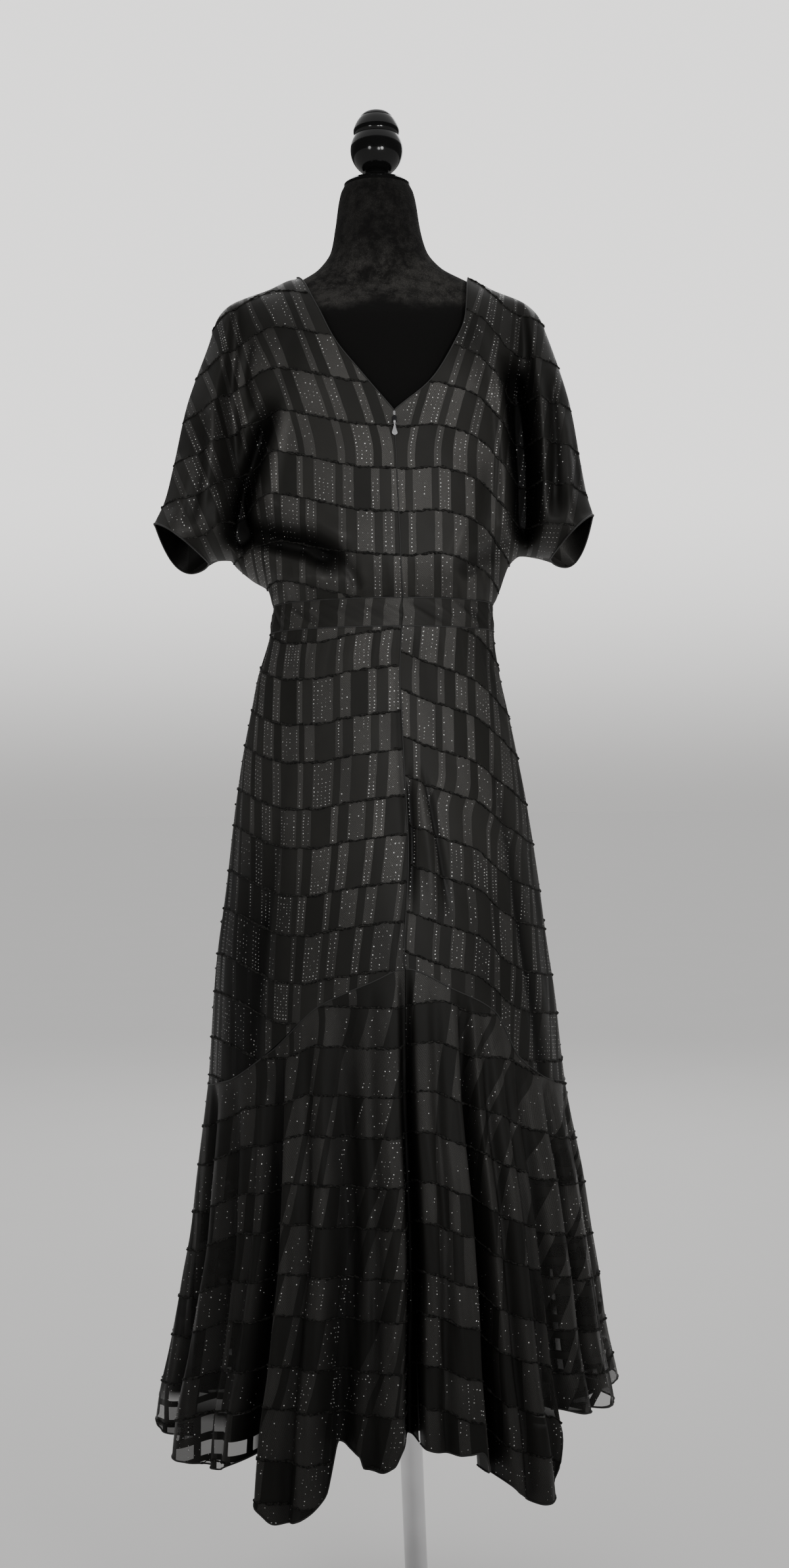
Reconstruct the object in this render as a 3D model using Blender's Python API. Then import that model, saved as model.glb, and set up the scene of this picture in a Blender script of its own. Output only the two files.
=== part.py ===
"""Maxi dress with sleeves cut in one, on a limbless dress form: how it is made, in metres.

World frame: +Z is up, the back of the dress with its zip faces -Y, and the origin is the middle
of the base plate's underside. Left is -X, as seen by somebody who faces the zip.
"""
from collections import namedtuple
from math import cos, exp, hypot, pi, radians, sin, sqrt

import bmesh
import bpy
from mathutils import Vector

# ---- Driving dimensions --------------------------------------------------------------------
CLOTH = 0.0015                # wall of every cloth panel
SEAM_GAP = 0.0003             # between two pieces that are sewn or fixed together
BODY_X = -0.027               # axis of the torso and the dress, beside the middle of the base

BAND_TOP = 1.2410             # waistband, from its seam with the bodice
BAND_BOTTOM = 1.2086          # to its seam with the skirt
BACK_SEAM_ANGLE = 10.0        # degrees from -Y towards +X: the seam down the middle of the back
SIDE_ANGLE = 90.0             # degrees: the side seams
FRONT_END = 270.0             # degrees: the left side seam, reached round the front
SEAM_TRIM = 0.08              # degrees left free at each end of a panel, which is half a seam's gap
SLANTED_GAP = 0.0006          # measured along Z where a seam runs at a slant

TORSO_SEGMENTS = 28
TURNED_SEGMENTS = 24
POLE_RADIUS = 0.0135
POLE_LEAN_TOP_X = -0.024      # the pole leans: its top is this far from the origin
BASE_RADIUS = 0.150
BASE_HEIGHT = 0.010
SOCKET_HEIGHT = 0.045         # top of the socket on the base plate
COLLAR_BOTTOM = 0.838
TORSO_BOTTOM = 0.868

# ---- Torso: flat oval sections of a general figure with no limbs ---------------------------
Oval = namedtuple("Oval", "height half_width half_depth middle_x")
TORSO = [
    Oval(TORSO_BOTTOM, 0.145, 0.104, 0.000),
    Oval(0.885, 0.152, 0.111, 0.000),
    Oval(0.940, 0.156, 0.116, 0.000),
    Oval(1.000, 0.154, 0.117, 0.000),
    Oval(1.060, 0.146, 0.111, 0.000),
    Oval(1.120, 0.133, 0.102, 0.000),
    Oval(1.180, 0.120, 0.093, 0.000),
    Oval(1.230, 0.115, 0.090, 0.000),
    Oval(1.280, 0.117, 0.092, 0.000),
    Oval(1.350, 0.128, 0.099, 0.000),
    Oval(1.420, 0.140, 0.106, 0.000),
    Oval(1.480, 0.147, 0.108, 0.000),
    Oval(1.530, 0.155, 0.101, 0.000),
    Oval(1.565, 0.1640, 0.0900, 0.0000),
    Oval(1.583, 0.1610, 0.0780, 0.0005),
    Oval(1.598, 0.1500, 0.0672, 0.0015),
    Oval(1.608, 0.1329, 0.0612, 0.0021),
    Oval(1.620, 0.1063, 0.0577, 0.0024),
    Oval(1.638, 0.0740, 0.0550, 0.0010),
    Oval(1.660, 0.0570, 0.0525, 0.0000),
    Oval(1.690, 0.0500, 0.050, -0.001),
    Oval(1.716, 0.0462, 0.0462, -0.001),
    Oval(1.730, 0.0430, 0.0430, -0.001),
    Oval(1.737, 0.0395, 0.0395, -0.001),
]

# ---- Turned pieces: outline from the bottom up ---------------------------------------------
Turn = namedtuple("Turn", "height radius")
NECK_CAP = [
    Turn(1.7373, 0.0392),
    Turn(1.7405, 0.0392),
    Turn(1.7440, 0.0350),
    Turn(1.7470, 0.0270),
    Turn(1.7485, 0.0180),
]
BALL_MIDDLE = 1.7815
BALL_RADIUS = 0.0312
BALL_FROM, BALL_TO = -58.0, 34.0  # degrees of latitude between the foot and the tiers
BALL_STEPS = 10
FINIAL_FOOT = [
    Turn(1.7488, 0.0150),
    Turn(1.7530, 0.0145),
    Turn(1.7555, 0.0165),
]
FINIAL_TIERS = [
    Turn(1.7985, 0.0265),
    Turn(1.8025, 0.0276),
    Turn(1.8085, 0.0258),
    Turn(1.8145, 0.0220),
    Turn(1.8190, 0.0192),
    Turn(1.8200, 0.0180),
    Turn(1.8245, 0.0150),
    Turn(1.8278, 0.0085),
    Turn(1.8290, 0.0020),
]
TORSO_COLLAR = [
    Turn(COLLAR_BOTTOM, 0.0200),
    Turn(0.8600, 0.0215),
    Turn(0.8605, 0.0400),
    Turn(TORSO_BOTTOM - SEAM_GAP, 0.0400),
]
BASE_PLATE = [
    Turn(0.0000, BASE_RADIUS - 0.002),
    Turn(0.0020, BASE_RADIUS),
    Turn(BASE_HEIGHT - 0.003, BASE_RADIUS),
    Turn(BASE_HEIGHT, BASE_RADIUS - 0.005),
]
BASE_SOCKET = [
    Turn(BASE_HEIGHT + SEAM_GAP, 0.0340),
    Turn(0.0160, 0.0330),
    Turn(0.0200, 0.0230),
    Turn(SOCKET_HEIGHT, 0.0215),
]

# ---- Skirt and lining: ovals of the outer side ---------------------------------------------
SKIRT = [
    Oval(0.2000, 0.2800, 0.2560, -0.003),
    Oval(0.3186, 0.2665, 0.2420, -0.003),
    Oval(0.3888, 0.2520, 0.2270, -0.002),
    Oval(0.4567, 0.2414, 0.2150, 0.000),
    Oval(0.5105, 0.2325, 0.2070, 0.001),
    Oval(0.5714, 0.2255, 0.1990, 0.000),
    Oval(0.6517, 0.2140, 0.1880, -0.003),
    Oval(0.6954, 0.2094, 0.1830, -0.004),
    Oval(0.7788, 0.2024, 0.1770, -0.005),
    Oval(0.8366, 0.1958, 0.1710, -0.006),
    Oval(0.9208, 0.1841, 0.1590, -0.005),
    Oval(1.0082, 0.1720, 0.1460, -0.006),
    Oval(1.0706, 0.1611, 0.1340, -0.007),
    Oval(1.1470, 0.1455, 0.1190, -0.007),
    Oval(BAND_BOTTOM, 0.1325, 0.1055, -0.002),
    Oval(BAND_TOP, 0.1300, 0.1040, 0.000),
]
LINING_DROP = 0.0012          # top of the lining below the waistband's seam
LINING_TOP = BAND_BOTTOM - LINING_DROP
LINING_HEM = 0.315
LINING = [
    Oval(LINING_HEM, 0.1930, 0.1560, -0.003),
    Oval(0.5000, 0.1880, 0.1520, 0.000),
    Oval(0.7000, 0.1820, 0.1490, -0.004),
    Oval(0.8366, 0.1780, 0.1470, -0.006),
    Oval(0.9208, 0.1720, 0.1420, -0.005),
    Oval(1.0082, 0.1640, 0.1360, -0.006),
    Oval(1.0706, 0.1545, 0.1260, -0.007),
    Oval(1.1470, 0.1395, 0.1120, -0.007),
    Oval(LINING_TOP, 0.13065, 0.10365, -0.002),
]

# ---- Seam between skirt and flounce, and the hem: height by angle --------------------------
Level = namedtuple("Level", "angle height")
FLOUNCE_SEAM = [
    Level(-180.0, 0.822),
    Level(-150.0, 0.795),
    Level(-120.0, 0.715),
    Level(-90.0, 0.680),
    Level(-60.0, 0.695),
    Level(-38.0, 0.735),
    Level(-20.0, 0.788),
    Level(0.0, 0.816),
    Level(10.0, 0.828),
    Level(25.0, 0.803),
    Level(38.0, 0.776),
    Level(47.0, 0.722),
    Level(65.0, 0.690),
    Level(90.0, 0.680),
    Level(120.0, 0.715),
    Level(150.0, 0.795),
    Level(180.0, 0.822),
]
HEM = [
    Level(-180.0, 0.268),
    Level(-150.0, 0.250),
    Level(-128.0, 0.234),
    Level(-108.0, 0.275),
    Level(-90.0, 0.312),
    Level(-77.0, 0.285),
    Level(-61.0, 0.288),
    Level(-51.0, 0.300),
    Level(-42.0, 0.252),
    Level(-32.0, 0.238),
    Level(-20.0, 0.275),
    Level(-14.0, 0.330),
    Level(-2.0, 0.312),
    Level(8.0, 0.336),
    Level(24.0, 0.324),
    Level(30.0, 0.262),
    Level(40.0, 0.226),
    Level(47.0, 0.252),
    Level(53.0, 0.300),
    Level(62.0, 0.287),
    Level(76.0, 0.292),
    Level(92.0, 0.320),
    Level(110.0, 0.282),
    Level(130.0, 0.238),
    Level(152.0, 0.252),
    Level(180.0, 0.268),
]

# ---- Grooves between the flutes of the flounce: deepest at the hem -------------------------
Groove = namedtuple("Groove", "angle spread depth")
GROOVES = [
    Groove(-148.0, 8.0, 0.030),
    Groove(-124.0, 8.0, 0.030),
    Groove(-102.0, 6.0, 0.020),
    Groove(-69.0, 5.5, 0.016),
    Groove(-42.0, 6.5, 0.040),
    Groove(-13.0, 5.0, 0.024),
    Groove(9.0, 4.0, 0.036),
    Groove(29.5, 5.0, 0.040),
    Groove(60.0, 4.0, 0.022),
    Groove(100.0, 6.0, 0.020),
    Groove(121.0, 8.0, 0.030),
    Groove(146.0, 8.0, 0.030),
    Groove(170.0, 8.0, 0.030),
    Groove(192.0, 8.0, 0.026),
]

# ---- Bodice: ovals of its body part, and the outlines of a half from middle to cuff --------
BODICE = [
    Oval(BAND_TOP, 0.1300, 0.1040, 0.000),
    Oval(1.2520, 0.1420, 0.1120, 0.000),
    Oval(1.2660, 0.1560, 0.1180, 0.000),
    Oval(1.2850, 0.1680, 0.1220, 0.000),
    Oval(1.3200, 0.1740, 0.1230, 0.000),
    Oval(1.3800, 0.1740, 0.1210, 0.000),
    Oval(1.4400, 0.1740, 0.1165, 0.000),
    Oval(1.5000, 0.1780, 0.1130, 0.000),
    Oval(1.5500, 0.1820, 0.1020, 0.000),
    Oval(1.5900, 0.1800, 0.0870, 0.000),
    Oval(1.6150, 0.1500, 0.0750, 0.002),
    Oval(1.6400, 0.1200, 0.0680, 0.002),
]
Edge = namedtuple("Edge", "share x height")
WAIST = BAND_TOP + SEAM_GAP
NECK_POINT = 0.38             # share of the top edge at which the neckline meets the shoulder
WAIST_SIDE = 0.52             # share of the bottom edge at which the waist ends
TOP_LEFT = [
    Edge(0.00, 0.0155, 1.4504),
    Edge(0.10, -0.0197, 1.4928),
    Edge(0.20, -0.0509, 1.5347),
    Edge(0.30, -0.0736, 1.5830),
    Edge(NECK_POINT, -0.0995, 1.6275),
    Edge(0.46, -0.1317, 1.6150),
    Edge(0.56, -0.1755, 1.5985),
    Edge(0.62, -0.1920, 1.5820),
    Edge(0.68, -0.2035, 1.5500),
    Edge(0.78, -0.2300, 1.4785),
    Edge(0.88, -0.2459, 1.4106),
    Edge(0.95, -0.2573, 1.3670),
    Edge(1.00, -0.2700, 1.3405),
]
BOTTOM_LEFT = [
    Edge(0.00, 0.0223, WAIST),
    Edge(0.24, -0.0600, WAIST),
    Edge(0.42, -0.1130, WAIST),
    Edge(WAIST_SIDE, -0.1300, WAIST),
    Edge(0.57, -0.1360, 1.2600),
    Edge(0.63, -0.1548, 1.2726),
    Edge(0.70, -0.1730, 1.2880),
    Edge(0.78, -0.1818, 1.2975),
    Edge(0.90, -0.1960, 1.2980),
    Edge(1.00, -0.2068, 1.2952),
]
TOP_RIGHT = [
    Edge(0.00, 0.0155, 1.4504),
    Edge(0.12, 0.0593, 1.4883),
    Edge(0.22, 0.0852, 1.5310),
    Edge(0.29, 0.0975, 1.5600),
    Edge(NECK_POINT, 0.1064, 1.6267),
    Edge(0.46, 0.1340, 1.6120),
    Edge(0.56, 0.1720, 1.5955),
    Edge(0.62, 0.1890, 1.5790),
    Edge(0.68, 0.1985, 1.5565),
    Edge(0.78, 0.2250, 1.4720),
    Edge(0.88, 0.2361, 1.4060),
    Edge(0.95, 0.2427, 1.3693),
    Edge(1.00, 0.2501, 1.3443),
]
BOTTOM_RIGHT = [
    Edge(0.00, 0.0223, WAIST),
    Edge(0.24, 0.0760, WAIST),
    Edge(0.42, 0.1170, WAIST),
    Edge(WAIST_SIDE, 0.1300, WAIST),
    Edge(0.57, 0.1385, 1.2578),
    Edge(0.63, 0.1440, 1.2734),
    Edge(0.70, 0.1500, 1.2870),
    Edge(0.78, 0.1640, 1.2983),
    Edge(0.90, 0.1826, 1.2965),
    Edge(1.00, 0.1990, 1.2952),
]
FRONT_NECK_LEFT = [
    Edge(0.00, 0.0000, 1.5080),
    Edge(0.10, -0.0290, 1.5330),
    Edge(0.20, -0.0570, 1.5620),
    Edge(0.30, -0.0800, 1.5950),
]
FRONT_NECK_RIGHT = [
    Edge(0.00, 0.0000, 1.5080),
    Edge(0.10, 0.0300, 1.5330),
    Edge(0.20, 0.0590, 1.5620),
    Edge(0.30, 0.0850, 1.5950),
]
BODICE_COLUMNS = [0.0, 0.10, 0.20, 0.28, 0.33, 0.36, NECK_POINT, 0.41, 0.46, WAIST_SIDE, 0.57, 0.63, 0.70,
                  0.78, 0.89, 1.0]
BODICE_ROWS = [0.0, 0.02, 0.07, 0.16, 0.29, 0.44, 0.60, 0.75, 0.87, 0.95, 1.0]
SEAM_STEPS = 24               # straight pieces that the length of a seam is measured along

Swell = namedtuple("Swell", "height rate")
SWELLS = [                    # how fast the cloth rises from a seam at the side or shoulder
    Swell(1.240, 0.60),
    Swell(1.275, 0.46),
    Swell(1.350, 0.43),
    Swell(1.450, 0.37),
    Swell(1.550, 0.35),
    Swell(1.600, 0.37),
    Swell(1.650, 0.37),
]
SLEEVE_DEPTH = 0.076          # half the sleeve's depth from front to back
SLEEVE_FROM, SLEEVE_TO = 0.148, 0.192  # distance from the middle over which the body becomes a sleeve
SLEEVE_BLEND = 0.020          # how softly body and sleeve run into each other
SWELL_BLEND = 0.012           # how softly the rise from a seam runs into the body
DIP_FADE_LOW = 0.020          # a dip fades out over this height on both sides of its bottom
DIP_FADE_TOP = 0.050          # and over this height above its top
Dip = namedtuple("Dip", "x width depth top bottom")
DIPS = [                      # where the sleeve falls in beside the torso
    Dip(-0.176, 0.018, 0.014, 1.53, 1.30),
    Dip(0.166, 0.014, 0.028, 1.53, 1.29),
]

# ---- Zip: slider, pull and hook ------------------------------------------------------------
SLIDER_HEIGHT = 1.4390        # middle of the slider
SLIDER_WIDTH, SLIDER_LENGTH, SLIDER_THICK = 0.0050, 0.0092, 0.0016
SLIDER_CORNER = 0.0015
PIN_RADIUS = 0.0006
PIN_OUT = 0.0036              # axis of the pin, out from the back of the slider
PIN_HEIGHT = SLIDER_HEIGHT - 0.0026
EAR_WIDTH = 0.0009
EAR_HALF_HEIGHT = 0.0011
EAR_CORNER = 0.0002
PULL_HALF_GAP = 0.0014        # half the space between the slider's two ears
PULL_SIDE_GAP = 0.0003        # from the pull's eye to each ear
EYE_OUTER, EYE_INNER = 0.0016, 0.00095
PULL_NECK_SHARE = 0.75        # width of the pull's neck as a share of its eye
PULL_NECK_LENGTH = 0.0030
PULL_LENGTH = 0.0150          # from the pin's axis to the pull's end
PULL_WIDTH = 0.0062
PULL_THICK = 0.0011
HOOK_WIDTH, HOOK_LENGTH, HOOK_THICK = 0.0027, 0.0046, 0.0010
HOOK_DROP = 0.0034            # middle of the hook below the point of the neckline
HOOK_CORNER = 0.0010

Finish = namedtuple("Finish", "colour roughness metallic")
FINISHES = {
    "dress_cloth": Finish((0.022, 0.021, 0.020), 0.55, 0.0),
    "lining_cloth": Finish((0.008, 0.008, 0.008), 0.60, 0.0),
    "velvet": Finish((0.012, 0.011, 0.011), 0.95, 0.0),
    "gloss_black": Finish((0.008, 0.008, 0.008), 0.10, 0.0),
    "zip_black": Finish((0.010, 0.010, 0.010), 0.18, 0.6),
    "bright_wire": Finish((0.80, 0.80, 0.80), 0.20, 1.0),
    "bright_tube": Finish((0.75, 0.75, 0.76), 0.22, 1.0),
    "base_enamel": Finish((0.015, 0.015, 0.015), 0.35, 0.2),
}


# ---- Reading the tables --------------------------------------------------------------------
def curve_at(places, values, at):
    """The value at one place on a smooth curve through the points, which never overshoots them."""
    if at <= places[0]:
        return values[0]
    if at >= places[-1]:
        return values[-1]
    i = max(k for k in range(len(places) - 1) if places[k] <= at)
    span = places[i + 1] - places[i]
    share = (at - places[i]) / span

    def slope(k):
        if k in (0, len(places) - 1):
            a = min(k, len(places) - 2)
            return (values[a + 1] - values[a]) / (places[a + 1] - places[a])
        before = (values[k] - values[k - 1]) / (places[k] - places[k - 1])
        after = (values[k + 1] - values[k]) / (places[k + 1] - places[k])
        return 0.0 if before * after <= 0 else 2 * before * after / (before + after)

    start = values[i] * (1 + 2 * share) * (1 - share) ** 2 + slope(i) * span * share * (1 - share) ** 2
    end = values[i + 1] * (3 - 2 * share) * share ** 2 - slope(i + 1) * span * share ** 2 * (1 - share)
    return start + end


def column(table, name, at, key=0):
    """A named column of a table, read at one place of its first column."""
    return curve_at([row[key] for row in table], [getattr(row, name) for row in table], at)


def oval_at(table, height):
    return Oval(
        height,
        column(table, "half_width", height),
        column(table, "half_depth", height),
        column(table, "middle_x", height),
    )


def turned_angle(angle):
    """The same direction between -180 and 180 degrees."""
    return (angle + 180.0) % 360.0 - 180.0


def ramp(value, low, high):
    share = min(max((value - low) / (high - low), 0.0), 1.0)
    return share * share * (3 - 2 * share)


def smooth_min(a, b, blend):
    mix = max(blend - abs(a - b), 0.0) / blend
    return min(a, b) - mix * mix * blend / 4


def smooth_max(a, b, blend):
    return -smooth_min(-a, -b, blend)


# ---- Making objects ------------------------------------------------------------------------
def material(name):
    found = bpy.data.materials.get(name)
    if found:
        return found
    made = bpy.data.materials.new(name)
    made.use_nodes = True
    shader = made.node_tree.nodes["Principled BSDF"]
    finish = FINISHES[name]
    shader.inputs["Base Color"].default_value = (*finish.colour, 1.0)
    shader.inputs["Roughness"].default_value = finish.roughness
    shader.inputs["Metallic"].default_value = finish.metallic
    made.diffuse_color = (*finish.colour, 1.0)
    return made


def solid(name, vertices, faces, finish, sharp_degrees=50.0):
    """An object from points and faces, with its faces turned outwards and round parts smooth."""
    mesh = bpy.data.meshes.new(name)
    mesh.from_pydata([tuple(v) for v in vertices], [], faces)
    work = bmesh.new()
    work.from_mesh(mesh)
    bmesh.ops.recalc_face_normals(work, faces=work.faces)
    work.to_mesh(mesh)
    work.free()
    mesh.shade_smooth()
    mesh.set_sharp_from_angle(angle=radians(sharp_degrees))
    mesh.materials.append(material(finish))
    made = bpy.data.objects.new(name, mesh)
    bpy.context.scene.collection.objects.link(made)
    return made


def stacked(name, rings, finish, sharp_degrees=50.0):
    """A closed solid through rings of equally many points, with flat ends."""
    count = len(rings[0])
    vertices = [point for ring in rings for point in ring]
    faces = []
    for level in range(len(rings) - 1):
        for i in range(count):
            j = (i + 1) % count
            low, high = level * count, (level + 1) * count
            faces.append((low + i, low + j, high + j, high + i))
    faces.append(tuple(range(count))[::-1])
    faces.append(tuple((len(rings) - 1) * count + i for i in range(count)))
    return solid(name, vertices, faces, finish, sharp_degrees)


def turned(name, outline, finish, middle_x=0.0, lean=0.0, segments=TURNED_SEGMENTS):
    """A turned solid. With a lean, its middle moves along X by that much for each metre of height."""
    rings = []
    for height, radius in outline:
        x = middle_x + lean * (height - outline[0][0])
        rings.append([
            Vector((x + radius * cos(2 * pi * i / segments), radius * sin(2 * pi * i / segments), height))
            for i in range(segments)
        ])
    return stacked(name, rings, finish)


def wall_normals(grid, axis_x):
    """Unit vectors out of a grid of points, away from the upright axis at axis_x."""
    rows, columns = len(grid), len(grid[0])
    normals = []
    facing = 0.0
    for r in range(rows):
        line = []
        for c in range(columns):
            along = grid[r][min(c + 1, columns - 1)] - grid[r][max(c - 1, 0)]
            down = grid[min(r + 1, rows - 1)][c] - grid[max(r - 1, 0)][c]
            normal = along.cross(down).normalized()
            facing += normal.x * (grid[r][c].x - axis_x) + normal.y * grid[r][c].y
            line.append(normal)
        normals.append(line)
    sign = 1.0 if facing > 0 else -1.0
    return [[normal * sign for normal in line] for line in normals]


def panel(name, grid, level=(), upright=(), side=(), radial=(), finish="dress_cloth"):
    """A cloth panel: outer points, the same moved in by the cloth, and the rims between them.

    level, upright, side and radial name the grid places whose rim is cut square to Z, to X, to Y
    or along the way to the dress's axis, so that it lies against the next piece with an even gap.
    """
    normals = wall_normals(grid, BODY_X)
    rows, columns = len(grid), len(grid[0])
    outer, inner = [], []
    for r in range(rows):
        for c in range(columns):
            normal = normals[r][c].copy()
            if (r, c) in level:
                normal.z = 0.0
            if (r, c) in upright:
                normal.x = 0.0
            if (r, c) in side:
                normal.y = 0.0
            if (r, c) in radial:
                outward = Vector((grid[r][c].x - BODY_X, grid[r][c].y, 0.0)).normalized()
                normal = outward * normal.dot(outward) + Vector((0.0, 0.0, normal.z))
            outer.append(grid[r][c])
            inner.append(grid[r][c] - normal.normalized() * CLOTH)
    shift = rows * columns
    faces = []
    for r in range(rows - 1):
        for c in range(columns - 1):
            a = r * columns + c
            b, d, e = a + 1, a + columns, a + columns + 1
            for three in ((a, b, e), (a, e, d)):
                faces.append(three)
                faces.append(tuple(shift + v for v in reversed(three)))
    border = list(range(columns))
    border += [r * columns + columns - 1 for r in range(1, rows)]
    border += [(rows - 1) * columns + c for c in range(columns - 2, -1, -1)]
    border += [r * columns for r in range(rows - 2, 0, -1)]
    for k, a in enumerate(border):
        b = border[(k + 1) % len(border)]
        faces.append((a, shift + a, shift + b))
        faces.append((a, shift + b, b))
    return solid(name, outer + inner, faces, finish)


def row_places(row, columns):
    return {(row, c) for c in range(columns)}


def column_places(place, rows):
    return {(r, place) for r in range(rows)}


# ---- Form and stand ------------------------------------------------------------------------
def make_form():
    rings = []
    for section in TORSO:
        middle = BODY_X + section.middle_x
        rings.append([
            Vector((
                middle + section.half_width * cos(2 * pi * i / TORSO_SEGMENTS),
                section.half_depth * sin(2 * pi * i / TORSO_SEGMENTS),
                section.height,
            ))
            for i in range(TORSO_SEGMENTS)
        ])
    stacked("form_torso", rings, "velvet")
    neck_x = BODY_X + TORSO[-1].middle_x
    turned("neck_cap", NECK_CAP, "gloss_black", neck_x)
    turned("finial", finial_outline(), "gloss_black", neck_x)
    turned("torso_collar", TORSO_COLLAR, "bright_tube", BODY_X)


def finial_outline():
    """The foot, the ball from the foot up to the tiers, and the tiers."""
    outline = list(FINIAL_FOOT)
    for k in range(BALL_STEPS + 1):
        angle = radians(BALL_FROM + (BALL_TO - BALL_FROM) * k / BALL_STEPS)
        outline.append(Turn(BALL_MIDDLE + BALL_RADIUS * sin(angle), BALL_RADIUS * cos(angle)))
    return outline + FINIAL_TIERS


def make_stand():
    turned("base_plate", BASE_PLATE, "base_enamel", segments=48)
    turned("base_socket", BASE_SOCKET, "bright_tube")
    low = SOCKET_HEIGHT + SEAM_GAP
    high = COLLAR_BOTTOM - SEAM_GAP
    lean = POLE_LEAN_TOP_X / high
    tube = [Turn(low, POLE_RADIUS), Turn(high, POLE_RADIUS)]
    turned("pole", tube, "bright_tube", middle_x=lean * low, lean=lean)


# ---- Skirt, flounce, lining and waistband --------------------------------------------------
def ring_point(table, angle, height, drawn_in=0.0):
    """A point of an oval, drawn towards the axis by drawn_in."""
    section = oval_at(table, height)
    across = section.half_width * sin(radians(angle))
    deep = section.half_depth * cos(radians(angle))
    share = 1.0 - drawn_in / hypot(across, deep)
    return Vector((BODY_X + section.middle_x + across * share, -deep * share, height))


def groove_depth(angle):
    total = 0.0
    for groove in GROOVES:
        away = turned_angle(angle - groove.angle) / groove.spread
        total += groove.depth * exp(-away * away)
    return total


def flounce_top(angle):
    return column(FLOUNCE_SEAM, "height", turned_angle(angle))


def hem_height(angle):
    return column(HEM, "height", turned_angle(angle))


def spread_angles(first, last, steps):
    """Angles of a panel's columns, with half a seam's gap left free at both ends."""
    start, end = first + SEAM_TRIM, last - SEAM_TRIM
    return [start + (end - start) * k / steps for k in range(steps + 1)]


PANELS = [                    # name, first and last angle, columns of smooth and fluted cloth
    ("back_left", -SIDE_ANGLE, BACK_SEAM_ANGLE, 10, 30),
    ("back_right", BACK_SEAM_ANGLE, SIDE_ANGLE, 8, 25),
    ("front", SIDE_ANGLE, FRONT_END, 18, 42),
]
SKIRT_ROWS = 5
FLOUNCE_ROWS = 6
LINING_ROWS = 7
LINING_STEPS = 18


def make_ring_panel(name, table, angles, top, bottom, rows, drawn_in=None, finish="dress_cloth"):
    """A panel between two levels, each a function of the angle."""
    grid = []
    for r in range(rows + 1):
        share = r / rows
        line = []
        for angle in angles:
            height = top(angle) + (bottom(angle) - top(angle)) * share
            fold = drawn_in(angle, share) if drawn_in else 0.0
            line.append(ring_point(table, angle, height, fold))
        grid.append(line)
    level = row_places(0, len(angles)) | row_places(rows, len(angles))
    radial = column_places(0, rows + 1) | column_places(len(angles) - 1, rows + 1)
    return panel(name, grid, level=level, radial=radial, finish=finish)


def make_lower_dress():
    for name, first, last, smooth_steps, fluted_steps in PANELS:
        smooth = spread_angles(first, last, smooth_steps)
        fluted = spread_angles(first, last, fluted_steps)
        make_ring_panel("waistband_" + name, SKIRT, smooth,
                        lambda a: BAND_TOP, lambda a: BAND_BOTTOM, 1)
        make_ring_panel("skirt_" + name, SKIRT, fluted,
                        lambda a: BAND_BOTTOM - SEAM_GAP, flounce_top, SKIRT_ROWS)
        make_ring_panel("flounce_" + name, SKIRT, fluted,
                        lambda a: flounce_top(a) - SLANTED_GAP, hem_height, FLOUNCE_ROWS,
                        lambda a, share: groove_depth(a) * share)
    for name, first, last in (("back", -SIDE_ANGLE, SIDE_ANGLE), ("front", SIDE_ANGLE, FRONT_END)):
        make_ring_panel("lining_" + name, LINING, spread_angles(first, last, LINING_STEPS),
                        lambda a: LINING_TOP, lambda a: LINING_HEM, LINING_ROWS, finish="lining_cloth")


# ---- Bodice --------------------------------------------------------------------------------
def edge_point(table, share):
    return column(table, "x", share), column(table, "height", share)


def seam_line(top, bottom):
    """The seams that close one side of the bodice: shoulder and sleeve, then side and underarm."""
    lines = []
    for table, first in ((top, NECK_POINT), (bottom, WAIST_SIDE)):
        shares = [first + (1.0 - first) * k / SEAM_STEPS for k in range(SEAM_STEPS + 1)]
        lines.append([edge_point(table, share) for share in shares])
    return lines


def away_from(line, x, height):
    """Shortest distance from a point of the X-Z plane to a line of points."""
    nearest = 1.0
    for (ax, az), (bx, bz) in zip(line, line[1:]):
        dx, dz = bx - ax, bz - az
        share = ((x - ax) * dx + (height - az) * dz) / (dx * dx + dz * dz)
        share = min(max(share, 0.0), 1.0)
        nearest = min(nearest, hypot(x - ax - share * dx, height - az - share * dz))
    return nearest


SEAMS = seam_line(TOP_LEFT, BOTTOM_LEFT) + seam_line(TOP_RIGHT, BOTTOM_RIGHT)


def bodice_depth(x, height):
    """How far the bodice and sleeve stand from the plane through the side seams."""
    section = oval_at(BODICE, height)
    share = (x - section.middle_x) / section.half_width
    body = section.half_depth * sqrt(max(0.0, 1.0 - share * share))
    sleeve = SLEEVE_DEPTH * ramp(abs(x), SLEEVE_FROM, SLEEVE_TO)
    deep = smooth_max(body, sleeve, SLEEVE_BLEND)
    for dip in DIPS:
        away = (x - dip.x) / dip.width
        above = ramp(height, dip.bottom - DIP_FADE_LOW, dip.bottom + DIP_FADE_LOW)
        below = 1.0 - ramp(height, dip.top - DIP_FADE_TOP, dip.top)
        deep -= dip.depth * exp(-away * away) * above * below
    near = min(away_from(line, x, height) for line in SEAMS)
    swell = column(SWELLS, "rate", height) * sqrt(near)
    return max(SEAM_GAP / 2, smooth_min(deep, swell, SWELL_BLEND))


def bodice_half(top, bottom, face, seam_shift):
    """Grid of one half, with face -1 for the back and 1 for the front. Columns run to the cuff."""
    grid = []
    for down in BODICE_ROWS:
        line = []
        for share in BODICE_COLUMNS:
            top_x, top_z = edge_point(top, share)
            low_x, low_z = edge_point(bottom, share)
            x = top_x + (low_x - top_x) * down
            height = top_z + (low_z - top_z) * down
            shift = seam_shift if share == 0.0 else 0.0
            sewn = (down == 0.0 and share >= NECK_POINT) or (down == 1.0 and share >= WAIST_SIDE)
            depth = SEAM_GAP / 2 if sewn else bodice_depth(x, height)
            line.append(Vector((BODY_X + x + shift, face * depth, height)))
        grid.append(line)
    return grid


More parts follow.
